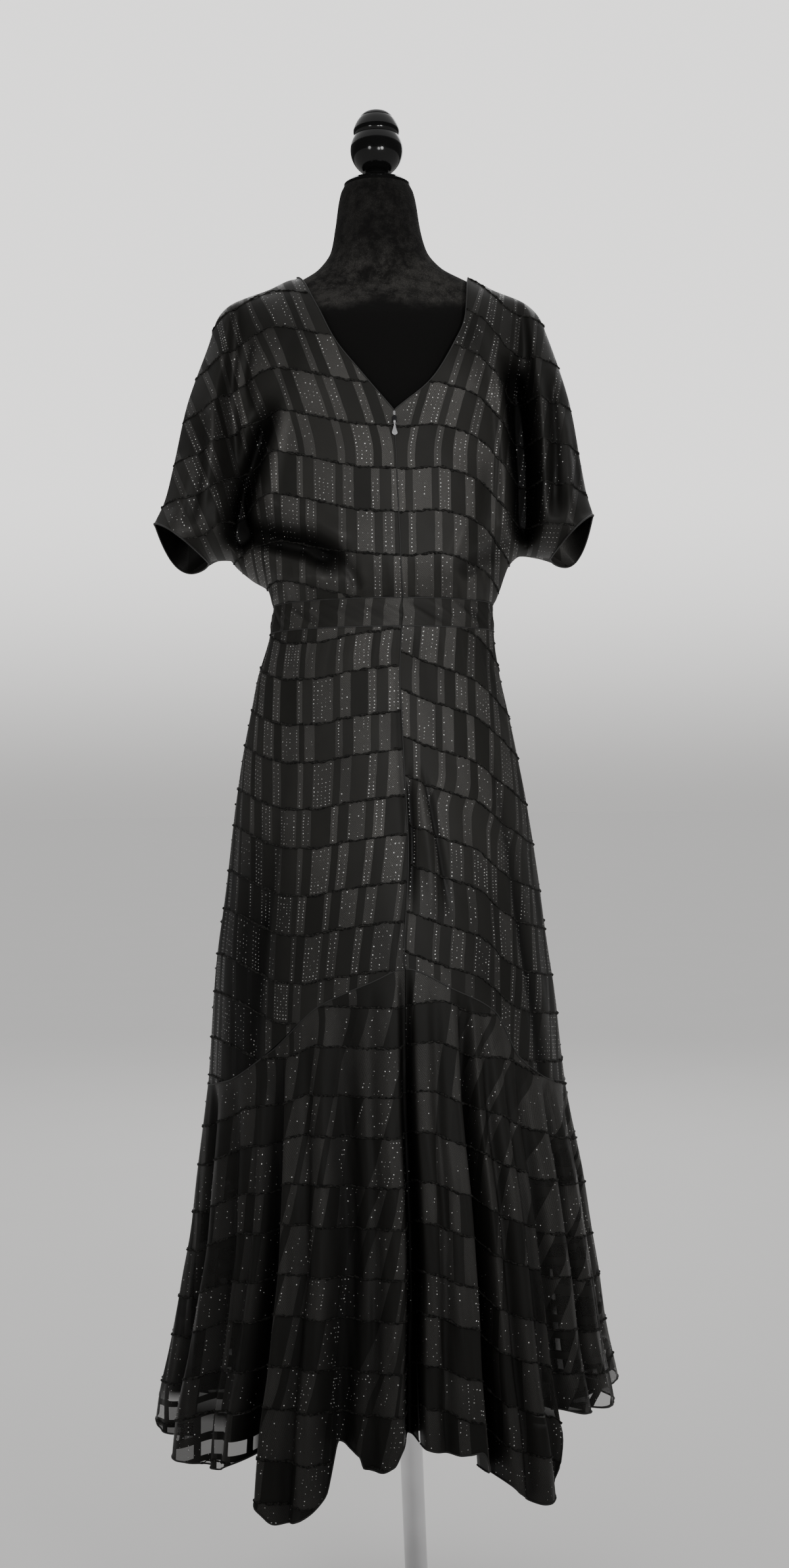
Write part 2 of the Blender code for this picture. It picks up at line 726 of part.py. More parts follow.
def closed_places(first, flip=False):
    """Grid places on the shoulder, sleeve, side and underarm seams, and those on the waist."""
    last_row = len(BODICE_ROWS) - 1
    seams, waist = set(), set()
    for c, share in enumerate(BODICE_COLUMNS):
        place = first - c if flip else first + c
        if share >= NECK_POINT:
            seams.add((0, place))
        if share >= WAIST_SIDE:
            seams.add((last_row, place))
        if share <= WAIST_SIDE:
            waist.add((last_row, place))
    return seams, waist


def make_bodice():
    half_gap = SEAM_GAP / 2
    seams, waist = closed_places(0)
    middle = column_places(0, len(BODICE_ROWS))
    left = bodice_half(TOP_LEFT, BOTTOM_LEFT, -1, -half_gap)
    right = bodice_half(TOP_RIGHT, BOTTOM_RIGHT, -1, half_gap)
    panel("bodice_back_left", left, level=waist, upright=middle, side=seams)
    panel("bodice_back_right", right, level=waist, upright=middle, side=seams)

    beyond_neck = [row for row in TOP_LEFT if row.share >= NECK_POINT]
    front_left = bodice_half(FRONT_NECK_LEFT + beyond_neck, BOTTOM_LEFT, 1, 0.0)
    beyond_neck = [row for row in TOP_RIGHT if row.share >= NECK_POINT]
    front_right = bodice_half(FRONT_NECK_RIGHT + beyond_neck, BOTTOM_RIGHT, 1, 0.0)
    whole = [line_left[::-1] + line_right[1:] for line_left, line_right in zip(front_left, front_right)]
    middle_place = len(BODICE_COLUMNS) - 1
    seams_left, waist_left = closed_places(middle_place, flip=True)
    seams_right, waist_right = closed_places(middle_place)
    panel("bodice_front", whole, level=waist_left | waist_right, side=seams_left | seams_right)


# ---- Zip -----------------------------------------------------------------------------------
def seam_x(height):
    """X of the seam down the middle of the back of the bodice."""
    (_, top_x, top_z), (_, low_x, low_z) = TOP_LEFT[0], BOTTOM_LEFT[0]
    return top_x + (low_x - top_x) * (top_z - height) / (top_z - low_z)


def zip_face(height, half_width):
    """Where the back of a flat piece lies so that its corners just clear the cloth."""
    x = seam_x(height)
    return max(bodice_depth(x + dx, height) for dx in (-half_width, 0.0, half_width)) + SEAM_GAP


def rounded_plate(half_width, half_length, corner, steps=4):
    """Outline of a plate with round corners, in X and Z about its middle."""
    outline = []
    for quarter, (sx, sz) in enumerate(((1, 1), (-1, 1), (-1, -1), (1, -1))):
        for k in range(steps + 1):
            angle = pi / 2 * (quarter + k / steps)
            x = sx * (half_width - corner) + corner * cos(angle)
            outline.append((x, sz * (half_length - corner) + corner * sin(angle)))
    return outline


def plate(name, outline, thick, middle, finish):
    """A flat plate in X and Z. middle is the middle of the face that points to +Y."""
    back = [Vector((middle.x + x, middle.y, middle.z + z)) for x, z in outline]
    front = [Vector((middle.x + x, middle.y - thick, middle.z + z)) for x, z in outline]
    return stacked(name, [back, front], finish, sharp_degrees=40.0)


def join_solids(name, target, others):
    """Unites others with target by exact Booleans and leaves one object under the name."""
    for other in others:
        union = target.modifiers.new("join", "BOOLEAN")
        union.operation = "UNION"
        union.object = other
        other.hide_render = True
        other.display_type = "WIRE"
    target.name = name
    return target


def tube_along_x(name, radius, half_length, middle, finish, segments=16):
    rings = []
    for side in (-1, 1):
        rings.append([
            Vector((
                middle.x + side * half_length,
                middle.y + radius * cos(2 * pi * i / segments),
                middle.z + radius * sin(2 * pi * i / segments),
            ))
            for i in range(segments)
        ])
    return stacked(name, rings, finish)


def make_slider(face_y, x):
    """The slider's body with two ears and the pin that the pull turns on."""
    middle = Vector((x, face_y, SLIDER_HEIGHT))
    outline = rounded_plate(SLIDER_WIDTH / 2, SLIDER_LENGTH / 2, SLIDER_CORNER)
    body = plate("slider_body", outline, SLIDER_THICK, middle, "zip_black")
    helpers = []
    ear_depth = PIN_OUT + EAR_HALF_HEIGHT - SLIDER_THICK / 2
    for side in (-1, 1):
        ear_x = x + side * (PULL_HALF_GAP + EAR_WIDTH / 2)
        ear_middle = Vector((ear_x, face_y - SLIDER_THICK / 2, PIN_HEIGHT))
        outline = rounded_plate(EAR_WIDTH / 2, EAR_HALF_HEIGHT, EAR_CORNER, steps=1)
        helpers.append(plate("slider_ear_" + str(side + 1), outline, ear_depth, ear_middle, "zip_black"))
    pin_middle = Vector((x, face_y - PIN_OUT, PIN_HEIGHT))
    reach = PULL_HALF_GAP + EAR_WIDTH / 2
    helpers.append(tube_along_x("slider_pin", PIN_RADIUS, reach, pin_middle, "zip_black"))
    join_solids("zip_slider", body, helpers)


def make_pull(face_y, x):
    """The pull: a drop-shaped plate hanging from a round eye. Its origin is on the pin's axis."""
    eye_half = PULL_HALF_GAP - PULL_SIDE_GAP
    origin = Vector((0.0, 0.0, 0.0))
    eye = tube_along_x("pull_eye", EYE_OUTER, eye_half, origin, "zip_black")
    drop = []
    steps = 12
    round_middle = PULL_LENGTH - PULL_WIDTH / 2
    for k in range(steps + 1):
        angle = pi * (1.0 + k / steps)
        drop.append((PULL_WIDTH / 2 * cos(angle), -round_middle + PULL_WIDTH / 2 * sin(angle)))
    neck = eye_half * PULL_NECK_SHARE
    neck_top = -(EYE_INNER + EYE_OUTER) / 2
    neck_low = neck_top - PULL_NECK_LENGTH
    drop += [(neck, neck_low), (neck, neck_top), (-neck, neck_top), (-neck, neck_low)]
    blade = plate("pull_blade", drop, PULL_THICK, Vector((0.0, PULL_THICK / 2, 0.0)), "zip_black")
    hole = tube_along_x("pull_hole", EYE_INNER, eye_half * 2, origin, "zip_black")
    join_solids("zip_pull", eye, [blade])
    cut = eye.modifiers.new("hole", "BOOLEAN")
    cut.operation = "DIFFERENCE"
    cut.object = hole
    hole.hide_render = True
    hole.display_type = "WIRE"
    axis = Vector((x, face_y - PIN_OUT, PIN_HEIGHT))
    for piece in (eye, blade, hole):
        piece.location = axis


def make_zip():
    x = BODY_X + seam_x(SLIDER_HEIGHT)
    out = max(
        zip_face(SLIDER_HEIGHT + dz, SLIDER_WIDTH / 2)
        for dz in (-SLIDER_LENGTH / 2, 0.0, SLIDER_LENGTH / 2)
    )
    make_slider(-out, x)
    make_pull(-out, x)
    hook_height = TOP_LEFT[0].height - HOOK_DROP
    hook_out = max(
        zip_face(hook_height + dz, HOOK_WIDTH / 2) for dz in (-HOOK_LENGTH / 2, HOOK_LENGTH / 2)
    )
    outline = rounded_plate(HOOK_WIDTH / 2, HOOK_LENGTH / 2, HOOK_CORNER)
    middle = Vector((BODY_X + seam_x(hook_height), -hook_out, hook_height))
    plate("zip_hook", outline, HOOK_THICK, middle, "bright_wire")


def main():
    for old in list(bpy.data.objects):
        bpy.data.objects.remove(old)
    make_form()
    make_stand()
    make_lower_dress()
    make_bodice()
    make_zip()


main()
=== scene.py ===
"""Looks of a black burnout maxi dress on its limbless dress form. Metres, +Z up, zip side to -Y."""

import math

import bpy
import numpy as np
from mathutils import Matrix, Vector


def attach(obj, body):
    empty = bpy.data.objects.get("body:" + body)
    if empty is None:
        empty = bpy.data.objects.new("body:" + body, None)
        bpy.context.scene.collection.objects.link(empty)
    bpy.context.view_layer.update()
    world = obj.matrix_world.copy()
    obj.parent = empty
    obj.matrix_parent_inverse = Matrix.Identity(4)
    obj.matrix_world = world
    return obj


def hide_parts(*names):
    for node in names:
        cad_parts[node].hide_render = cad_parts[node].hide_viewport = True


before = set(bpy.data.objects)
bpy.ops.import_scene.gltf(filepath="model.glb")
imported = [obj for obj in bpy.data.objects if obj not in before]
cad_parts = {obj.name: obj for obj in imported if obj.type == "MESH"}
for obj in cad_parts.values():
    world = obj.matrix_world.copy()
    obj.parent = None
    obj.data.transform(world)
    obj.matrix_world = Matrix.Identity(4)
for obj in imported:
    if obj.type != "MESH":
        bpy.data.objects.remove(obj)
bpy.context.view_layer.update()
ROOT = "dress_on_form"

# ---- Sizes repeated from the CAD source
SEAM_GAP = .0003
BODY_X = -.027
BAND_TOP, BAND_BOTTOM = 1.241, 1.2086
SIDE_ANGLE, BACK_SEAM_ANGLE, FRONT_END = 90.0, 10.0, 270.0
SEAM_TRIM, SLANTED_GAP = .08, .0006
LINING_TOP, LINING_HEM = 1.2074, .315
NECK_POINT, WAIST_SIDE = .38, .52
WAIST = BAND_TOP + SEAM_GAP

# height, half_width, half_depth, middle_x
TORSO = [
    (.868, .145, .104, 0.0), (.885, .152, .111, 0.0), (.94, .156, .116, 0.0), (1.0, .154, .117, 0.0),
    (1.06, .146, .111, 0.0), (1.12, .133, .102, 0.0), (1.18, .12, .093, 0.0), (1.23, .115, .09, 0.0),
    (1.28, .117, .092, 0.0), (1.35, .128, .099, 0.0), (1.42, .14, .106, 0.0), (1.48, .147, .108, 0.0),
    (1.53, .155, .101, 0.0), (1.565, .164, .09, 0.0), (1.583, .161, .078, .0005),
    (1.598, .15, .0672, .0015), (1.608, .1329, .0612, .0021), (1.62, .1063, .0577, .0024),
    (1.638, .074, .055, .001), (1.66, .057, .0525, 0.0), (1.69, .05, .05, -.001),
    (1.716, .0462, .0462, -.001), (1.73, .043, .043, -.001), (1.737, .0395, .0395, -.001),
]
SKIRT = [
    (.2, .28, .256, -.003), (.3186, .2665, .242, -.003), (.3888, .252, .227, -.002),
    (.4567, .2414, .215, 0.0), (.5105, .2325, .207, .001), (.5714, .2255, .199, 0.0),
    (.6517, .214, .188, -.003), (.6954, .2094, .183, -.004), (.7788, .2024, .177, -.005),
    (.8366, .1958, .171, -.006), (.9208, .1841, .159, -.005), (1.0082, .172, .146, -.006),
    (1.0706, .1611, .134, -.007), (1.147, .1455, .119, -.007), (BAND_BOTTOM, .1325, .1055, -.002),
    (BAND_TOP, .13, .104, 0.0),
]
LINING = [
    (LINING_HEM, .193, .156, -.003), (.5, .188, .152, 0.0), (.7, .182, .149, -.004),
    (.8366, .178, .147, -.006), (.9208, .172, .142, -.005), (1.0082, .164, .136, -.006),
    (1.0706, .1545, .126, -.007), (1.147, .1395, .112, -.007), (LINING_TOP, .13065, .10365, -.002),
]
BODICE = [
    (BAND_TOP, .13, .104, 0.0), (1.252, .142, .112, 0.0), (1.266, .156, .118, 0.0),
    (1.285, .168, .122, 0.0), (1.32, .174, .123, 0.0), (1.38, .174, .121, 0.0),
    (1.44, .174, .1165, 0.0), (1.5, .178, .113, 0.0), (1.55, .182, .102, 0.0),
    (1.59, .18, .087, 0.0), (1.615, .15, .075, .002), (1.64, .12, .068, .002),
]
# angle, height
FLOUNCE_SEAM = [
    (-180.0, .822), (-150.0, .795), (-120.0, .715), (-90.0, .68), (-60.0, .695), (-38.0, .735), (-20.0, .788),
    (0.0, .816), (10.0, .828), (25.0, .803), (38.0, .776), (47.0, .722), (65.0, .69), (90.0, .68),
    (120.0, .715), (150.0, .795), (180.0, .822),
]
HEM = [
    (-180.0, .268), (-150.0, .262), (-128.0, .264), (-108.0, .292), (-90.0, .322), (-82.0, .3),
    (-76.0, .291), (-69.0, .286), (-59.0, .277), (-48.0, .278), (-42.0, .29), (-38.0, .3), (-34.5, .272),
    (-31.4, .256), (-27.3, .24), (-24.0, .243), (-19.0, .254), (-15.6, .27), (-12.8, .326), (-9.3, .321),
    (-5.8, .316), (-4.6, .304), (-1.0, .302), (3.1, .309), (6.5, .33), (10.0, .326), (18.5, .317),
    (22.8, .318), (25.0, .292), (28.0, .285), (31.4, .268), (37.0, .252), (41.4, .256), (43.8, .28),
    (46.0, .322), (48.5, .336), (53.0, .33), (62.0, .324), (72.0, .32), (84.0, .326), (94.0, .328),
    (110.0, .282), (130.0, .238), (152.0, .252), (180.0, .268),
]
# angle at the seam, angle at the hem, half width, depth, how steep its walls are
FLUTES = [
    (-24.6, -25.2, 1.7, .006, 2.4), (-3.6, -4.4, 1.8, .005, 2.2), (16.6, 13.6, 1.8, .008, 2.4),
    (33.2, 34.4, 1.5, .01, 2.6), (40.4, 42.4, 1.4, .006, 2.4), (-44.6, -47.0, 2.0, .007, 2.2),
    (-36.8, -37.6, 4.0, .038, 4.0), (-12.5, -13.0, 4.6, .024, 2.6), (7.3, 5.6, 1.9, .044, 4.0),
    (26.4, 25.8, 2.1, .044, 4.0), (46.5, 48.5, 2.2, .016, 3.0), (60.0, 61.0, 2.0, .03, 4.0),
    (-69.0, -69.0, 2.8, .026, 3.0), (-54.0, -53.0, 2.6, .012, 2.4), (78.0, 79.0, 3.0, .014, 2.6),
    (100.0, 100.0, 4.0, .028, 3.0), (121.0, 121.0, 5.0, .036, 3.4), (146.0, 145.0, 4.4, .036, 3.4),
    (170.0, 171.0, 5.0, .036, 3.4), (192.0, 191.0, 4.2, .032, 3.0), (-148.0, -147.0, 5.0, .036, 3.4),
    (-124.0, -125.0, 4.4, .036, 3.4), (-102.0, -102.0, 4.0, .028, 3.0),
]
# sharp soft edges that catch the light: angle, half width, height
FLUTE_EDGES = [
    (-31.6, 1.5, .005), (-20.0, 3.0, .003), (0.0, 3.2, .004), (14.5, 4.0, .004), (22.4, 1.1, .004),
    (29.4, 1.2, .003), (38.0, 3.5, .004), (44.0, 1.4, .003), (54.0, 2.5, .003), (66.0, 2.4, .003),
    (-61.0, 3.0, .004), (-46.0, 2.5, .003), (-79.0, 3.0, .003),
]
# share, x, height
TOP_LEFT = [
    (0.0, .0155, 1.4504), (.1, -.0197, 1.4928), (.2, -.0509, 1.5347), (.3, -.0736, 1.583),
    (NECK_POINT, -.0995, 1.6275), (.46, -.1317, 1.615), (.56, -.1755, 1.5985), (.62, -.192, 1.582),
    (.68, -.2035, 1.55), (.78, -.23, 1.4785), (.88, -.2459, 1.4106), (.95, -.2573, 1.367),
    (1.0, -.27, 1.3405),
]
BOTTOM_LEFT = [
    (0.0, .0223, WAIST), (.24, -.06, WAIST), (.42, -.113, WAIST), (WAIST_SIDE, -.13, WAIST),
    (.57, -.136, 1.26), (.63, -.1548, 1.2726), (.7, -.173, 1.288), (.78, -.1818, 1.2975),
    (.9, -.196, 1.298), (1.0, -.2068, 1.2952),
]
TOP_RIGHT = [
    (0.0, .0155, 1.4504), (.12, .0593, 1.4883), (.22, .0852, 1.531), (.29, .0975, 1.56),
    (NECK_POINT, .1064, 1.6267), (.46, .134, 1.612), (.56, .172, 1.5955), (.62, .189, 1.579),
    (.68, .1985, 1.5565), (.78, .225, 1.472), (.88, .2361, 1.406), (.95, .2427, 1.3693),
    (1.0, .2501, 1.3443),
]
BOTTOM_RIGHT = [
    (0.0, .0223, WAIST), (.24, .076, WAIST), (.42, .117, WAIST), (WAIST_SIDE, .13, WAIST),
    (.57, .1385, 1.2578), (.63, .144, 1.2734), (.7, .15, 1.287), (.78, .164, 1.2983),
    (.9, .1826, 1.2965), (1.0, .199, 1.2952),
]
FRONT_NECK_LEFT = [(0.0, 0.0, 1.508), (.1, -.029, 1.533), (.2, -.057, 1.562), (.3, -.08, 1.595)]
FRONT_NECK_RIGHT = [(0.0, 0.0, 1.508), (.1, .03, 1.533), (.2, .059, 1.562), (.3, .085, 1.595)]
SWELLS = [(1.24, .6), (1.275, .46), (1.35, .43), (1.45, .37), (1.55, .35), (1.6, .37), (1.65, .37)]
SLEEVE_DEPTH, SLEEVE_FROM, SLEEVE_TO = .076, .148, .192

# ---- Reading the tables
def curve(table, col, at):
    """Column col of a table, read at an array of places of its first column, smoothly, no overshoot."""
    t = np.array(table, float)
    x, y = t[:, 0], t[:, col]
    at = np.clip(np.asarray(at, float), x[0], x[-1])
    i = np.clip(np.searchsorted(x, at, "right") - 1, 0, len(x) - 2)
    step = np.diff(x)
    rise = np.diff(y) / step
    slope = np.empty(len(x))
    slope[0], slope[-1] = rise[0], rise[-1]
    before, after = rise[:-1], rise[1:]
    both = before + after
    slope[1:-1] = np.where(before * after > 0, 2 * before * after / np.where(both == 0, 1, both), 0.0)
    s = (at - x[i]) / step[i]
    return (y[i] * (1 + 2 * s) * (1 - s) ** 2 + slope[i] * step[i] * s * (1 - s) ** 2
            + y[i + 1] * (3 - 2 * s) * s ** 2 - slope[i + 1] * step[i] * s ** 2 * (1 - s))


def ramp(value, low, high):
    s = np.clip((np.asarray(value, float) - low) / (high - low), 0.0, 1.0)
    return s * s * (3 - 2 * s)


def bell(value, middle, width):
    away = (np.asarray(value, float) - middle) / width
    return np.exp(-away * away)


def smooth_min(a, b, blend):
    mix = np.maximum(blend - np.abs(a - b), 0.0) / blend
    return np.minimum(a, b) - mix * mix * blend / 4


def turned_angle(angle):
    return (np.asarray(angle, float) + 180.0) % 360.0 - 180.0


def hashed(*numbers):
    """A repeatable number from 0 to 1 for some whole numbers."""
    total = .0
    for k, n in enumerate(numbers):
        total = total + np.asarray(n, float) * (12.9898, 78.233, 37.719, 94.673)[k]
    return np.modf(np.abs(np.sin(total) * 43758.5453))[0]


def noise1(at, seed=0.0):
    """Smooth wandering between -1 and 1 along a line, different for each seed."""
    at = np.asarray(at, float)
    return (np.sin(at * 1.0 + seed * 1.7) * .5 + np.sin(at * 2.31 + seed * 4.1 + 1.3) * .3
            + np.sin(at * 4.73 + seed * 2.9 + .7) * .2)


# ---- Camera and light
# radiance of the studio: high up and at floor level where it is seen, and where it only lights
BACKDROP, HORIZON, AMBIENT = 1.75, .58, .09
CAMERA_PLACE, CAMERA_ROLL = (BODY_X + .0105, -2.2, 1.03), .75
LENS, SENSOR = 42.58, 36.0
LAMP_RADIUS = .24
# name, place, aim, degrees of the cone, watts
SPOTS = [
    ("key_right", (.95, -2.15, 1.5), (.045, 0, 1.2), 52, 94),
    ("key_left", (-1.15, -1.95, 1.62), (-.08, 0, 1.47), 36, 38),
    ("key_middle", (.45, -2.6, 1.35), (0.0, 0, 1.28), 46, 54),
]


def in_scene(name, data):
    made = bpy.data.objects.new(name, data)
    bpy.context.scene.collection.objects.link(made)
    return made


def make_camera():
    data = bpy.data.cameras.new("camera")
    data.sensor_width, data.lens = SENSOR, LENS
    camera = in_scene("camera", data)
    camera.location = CAMERA_PLACE
    camera.rotation_euler = (math.radians(90.0), math.radians(CAMERA_ROLL), 0.0)
    bpy.context.scene.camera = camera


def add_lamp(name, kind, place=(0, 0, 0), aim=None, **settings):
    data = bpy.data.lights.new(name, kind)
    for key, value in settings.items():
        setattr(data, key, value)
    lamp = in_scene(name, data)
    lamp.location = place
    if aim:
        lamp.rotation_euler = (Vector(aim) - Vector(place)).to_track_quat("-Z", "Y").to_euler()
    return lamp


def make_stage():
    """A pale floor under a pale studio: the backdrop is bright, its light on the object soft."""
    world = bpy.data.worlds.new("studio")
    bpy.context.scene.world = world
    world.use_nodes = True
    nodes, links = world.node_tree.nodes, world.node_tree.links
    back = nodes["Background"]
    back.inputs["Color"].default_value = (1.0, .985, .97, 1.0)
    seen = nodes.new("ShaderNodeLightPath").outputs["Is Camera Ray"]
    split = nodes.new("ShaderNodeSeparateXYZ")
    links.new(nodes.new("ShaderNodeTexCoord").outputs["Generated"], split.inputs[0])
    sweep = nodes.new("ShaderNodeMapRange")
    sweep.interpolation_type = "SMOOTHSTEP"
    for name, value in (("From Min", -.02), ("From Max", .16), ("To Min", HORIZON - AMBIENT),
                        ("To Max", BACKDROP - AMBIENT)):
        sweep.inputs[name].default_value = value
    links.new(split.outputs[2], sweep.inputs["Value"])
    strength = nodes.new("ShaderNodeMath")
    strength.operation = "MULTIPLY_ADD"
    strength.inputs[2].default_value = AMBIENT
    links.new(seen, strength.inputs[0])
    links.new(sweep.outputs[0], strength.inputs[1])
    links.new(strength.outputs[0], back.inputs["Strength"])
    for name, place, aim, cone, power in SPOTS:
        add_lamp(name, "SPOT", place, aim, energy=power, spot_size=math.radians(cone), spot_blend=1.0,
                 shadow_soft_size=LAMP_RADIUS)
    add_lamp("back_top", "AREA", (.4, 3.4, 3.2), (-.02, 0, 1.1), energy=45, shape="RECTANGLE", size=3.4,
             size_y=2.4)
    sun = add_lamp("overhead", "SUN", energy=2.0, angle=math.radians(110))
    sun.rotation_euler = (math.radians(-14), 0.0, 0.0)
    bpy.ops.mesh.primitive_circle_add(vertices=96, radius=60.0, fill_type="NGON", location=(0, 0, -.0005))
    floor = bpy.context.object
    floor.name = "floor"
    floor.data.materials.append(plain_material("floor_paint", (.82, .81, .8), .8))


# ---- Materials
class Nodes:
    """A short way to write shader nodes. Values are numbers or the outputs of other nodes."""

    def __init__(self, name, **constants):
        self.material = bpy.data.materials.new(name)
        self.material.use_nodes = True
        self.tree = self.material.node_tree
        self.shader = self.tree.nodes["Principled BSDF"]
        self.set(**constants)

    def add(self, kind, values=None, **settings):
        node = self.tree.nodes.new("ShaderNode" + kind)
        for key, value in settings.items():
            setattr(node, key, value)
        for key, value in (values or {}).items():
            self.feed(node.inputs[key], value)
        return node

    def feed(self, socket, value):
        if hasattr(value, "links"):
            self.tree.links.new(value, socket)
        else:
            socket.default_value = value

    def set(self, **values):
        for key, value in values.items():
            self.feed(self.shader.inputs[key.replace("_", " ")], value)

    def math(self, operation, *values):
        node = self.add("Math", operation=operation)
        for socket, value in zip(node.inputs, values):
            self.feed(socket, value)
        return node.outputs[0]

    def mul(self, first, *others):
        for other in others:
            first = self.math("MULTIPLY", first, other)
        return first

    def madd(self, value, factor, offset):
        return self.math("MULTIPLY_ADD", value, factor, offset)

    def span(self, value, start, end, low=0.0, high=1.0):
        """low where value is at start, high at end, straight between them and constant beyond."""
        values = {"Value": value, "From Min": start, "From Max": end, "To Min": low, "To Max": high}
        return self.add("MapRange", values).outputs[0]

    def axes(self, vector):
        return self.add("SeparateXYZ", {"Vector": vector}).outputs

    def mix(self, share, low, high):
        node = self.add("Mix", data_type="RGBA")
        for k, value in ((0, share), (6, (*low, 1.0) if isinstance(low, tuple) else low),
                         (7, (*high, 1.0) if isinstance(high, tuple) else high)):
            self.feed(node.inputs[k], value)
        return node.outputs[2]

    def ramp(self, value, stops, constant=False):
        node = self.add("ValToRGB", {0: value})
        band = node.color_ramp
        if constant:
            band.interpolation = "CONSTANT"
        while len(band.elements) < len(stops):
            band.elements.new(1.0)
        for element, (place, level) in zip(band.elements, stops):
            element.position, element.color = place, (level, level, level, 1.0)
        return node.outputs[0]

    def noise(self, scale, detail, where, rough=.5):
        values = {"Scale": scale, "Detail": detail, "Roughness": rough, "Vector": where}
        return self.add("TexNoise", values).outputs[0]

    def place(self):
        return self.add("TexCoord").outputs["Object"]

    def bump(self, height, distance, strength):
        return self.add("Bump", {"Height": height, "Distance": distance, "Strength": strength}).outputs[0]


def shaded(colour, factor):
    return tuple(min(c * factor, 1.0) for c in colour)


def plain_material(name, colour, roughness):
    n = Nodes(name)
    n.set(Base_Color=n.mix(n.noise(3.0, 3.0, n.place()), shaded(colour, .97), colour), Roughness=roughness)
    return n.material


# The cloth's own plane: u across and v up, in metres. Cords part it into bands, and columns that
# run on from band to band are dull in one band and lustrous in the next.
BAND = .0485
COLUMNS = [13, 24, 9, 22, 8, 14, 18, 13, 24, 8, 13, 25, 9, 12, 20, 10]   # widths in millimetres
REPEAT = sum(COLUMNS) / 1000.0
WILD = .42                   # in the flounce bars are mixed without order, this share of them dull
BAND_JITTER = .0018          # how far a band's columns stand beside those of the next
DULL_DARK, DULL_LIGHT = (.0125, .0121, .0108), (.0205, .0198, .018)
SATIN_DARK, SATIN_LIGHT = (.013, .0127, .012), (.084, .081, .076)
TWILL = .0023                # from one lustre thread's slant to the next
HEM_COLUMN, HEM_ROW = .031, BAND / 2.2      # lattice of clear squares at the hem


def burnout_material(name, sheer=False, dim=1.0, wild=False):
    """Bands of matte and lustrous bars, with painted shade from the mesh's deep attribute. A sheer cloth has clear
    and grey squares; a wild one mixes its bars.
    """
    n = Nodes(name, Specular_IOR_Level=.12)
    uv = n.add("UVMap", uv_map="cloth").outputs[0]
    u, v, _ = n.axes(uv)
    band = n.math("FLOOR", n.math("DIVIDE", v, BAND))
    u_soft = n.madd(n.math("SUBTRACT", n.noise(90.0, 1.0, uv), .5), .001, u)
    u_soft = n.madd(n.math("SINE", n.mul(band, 2.4)), BAND_JITTER, u_soft)
    place = n.math("FRACT", n.math("DIVIDE", u_soft, REPEAT))
    turns, tones, at = [], [], .0
    for k, width in enumerate(COLUMNS):
        turns.append((at / REPEAT / 1000, float(k % 2)))
        tones.append((at / REPEAT / 1000, float(hashed(k, 5))))
        at += width
    turn, tone = n.ramp(place, turns, constant=True), n.ramp(place, tones, constant=True)
    own = n.math("FRACT", n.madd(band, .618, tone))
    if wild:
        bar = n.math("GREATER_THAN", own, WILD)
    else:
        bar = n.math("FLOORED_MODULO", n.math("ADD", n.math("ROUND", turn), band), 2.0)
    # lustre threads: a fine twill with broken glints
    slant = n.mul(n.math("ADD", u, v), 2 * math.pi / TWILL)
    twill = n.math("SINE", n.madd(n.noise(420.0, 1.0, uv), 5.0, slant))
    grain = n.ramp(n.noise(1300.0, 2.0, uv, .7), [(.38, 0.0), (.64, 1.0)])
    twill = n.madd(twill, .22, n.madd(grain, .55, .22))
    glint = n.ramp(n.noise(1500.0, 0.0, uv), [(.58, 0.0), (.74, 1.0)])
    # painted shade: the mesh's deep attribute takes lustre away here and darkens the colour below
    deep = n.add("Attribute", attribute_name="deep").outputs["Fac"]
    lustre = n.mul(bar, n.madd(twill, .8, .22), n.madd(own, .55, .55), n.math("SUBTRACT", 1.0, deep))
    weave = n.noise(1400.0, 1.0, uv)
    shade = n.madd(n.math("SUBTRACT", n.noise(14.0, 3.0, uv), .5), .6, n.madd(weave, .5, .75))
    cloth = n.mix(bar, n.mix(own, shaded(DULL_DARK, dim), shaded(DULL_LIGHT, dim)),
                  n.mix(lustre, shaded(SATIN_DARK, dim), shaded(SATIN_LIGHT, dim)))
    cloth = n.add("HueSaturation", {"Color": cloth, "Value": n.mul(shade, n.madd(deep, -.8, 1.0))})
    height = n.math("ADD", n.madd(bar, .6, n.mul(lustre, .8)), n.mul(weave, .35))
    n.set(Base_Color=cloth.outputs[0], Metallic=n.mul(lustre, .5), Normal=n.bump(height, .0005, .6),
          Roughness=n.madd(n.mul(glint, bar), -.16, n.madd(bar, -.12, .58)))
    if sheer:
        n.set(Alpha=n.math("SUBTRACT", 1.0, clearness(n, u_soft, v, own, bar)))
    return n.material


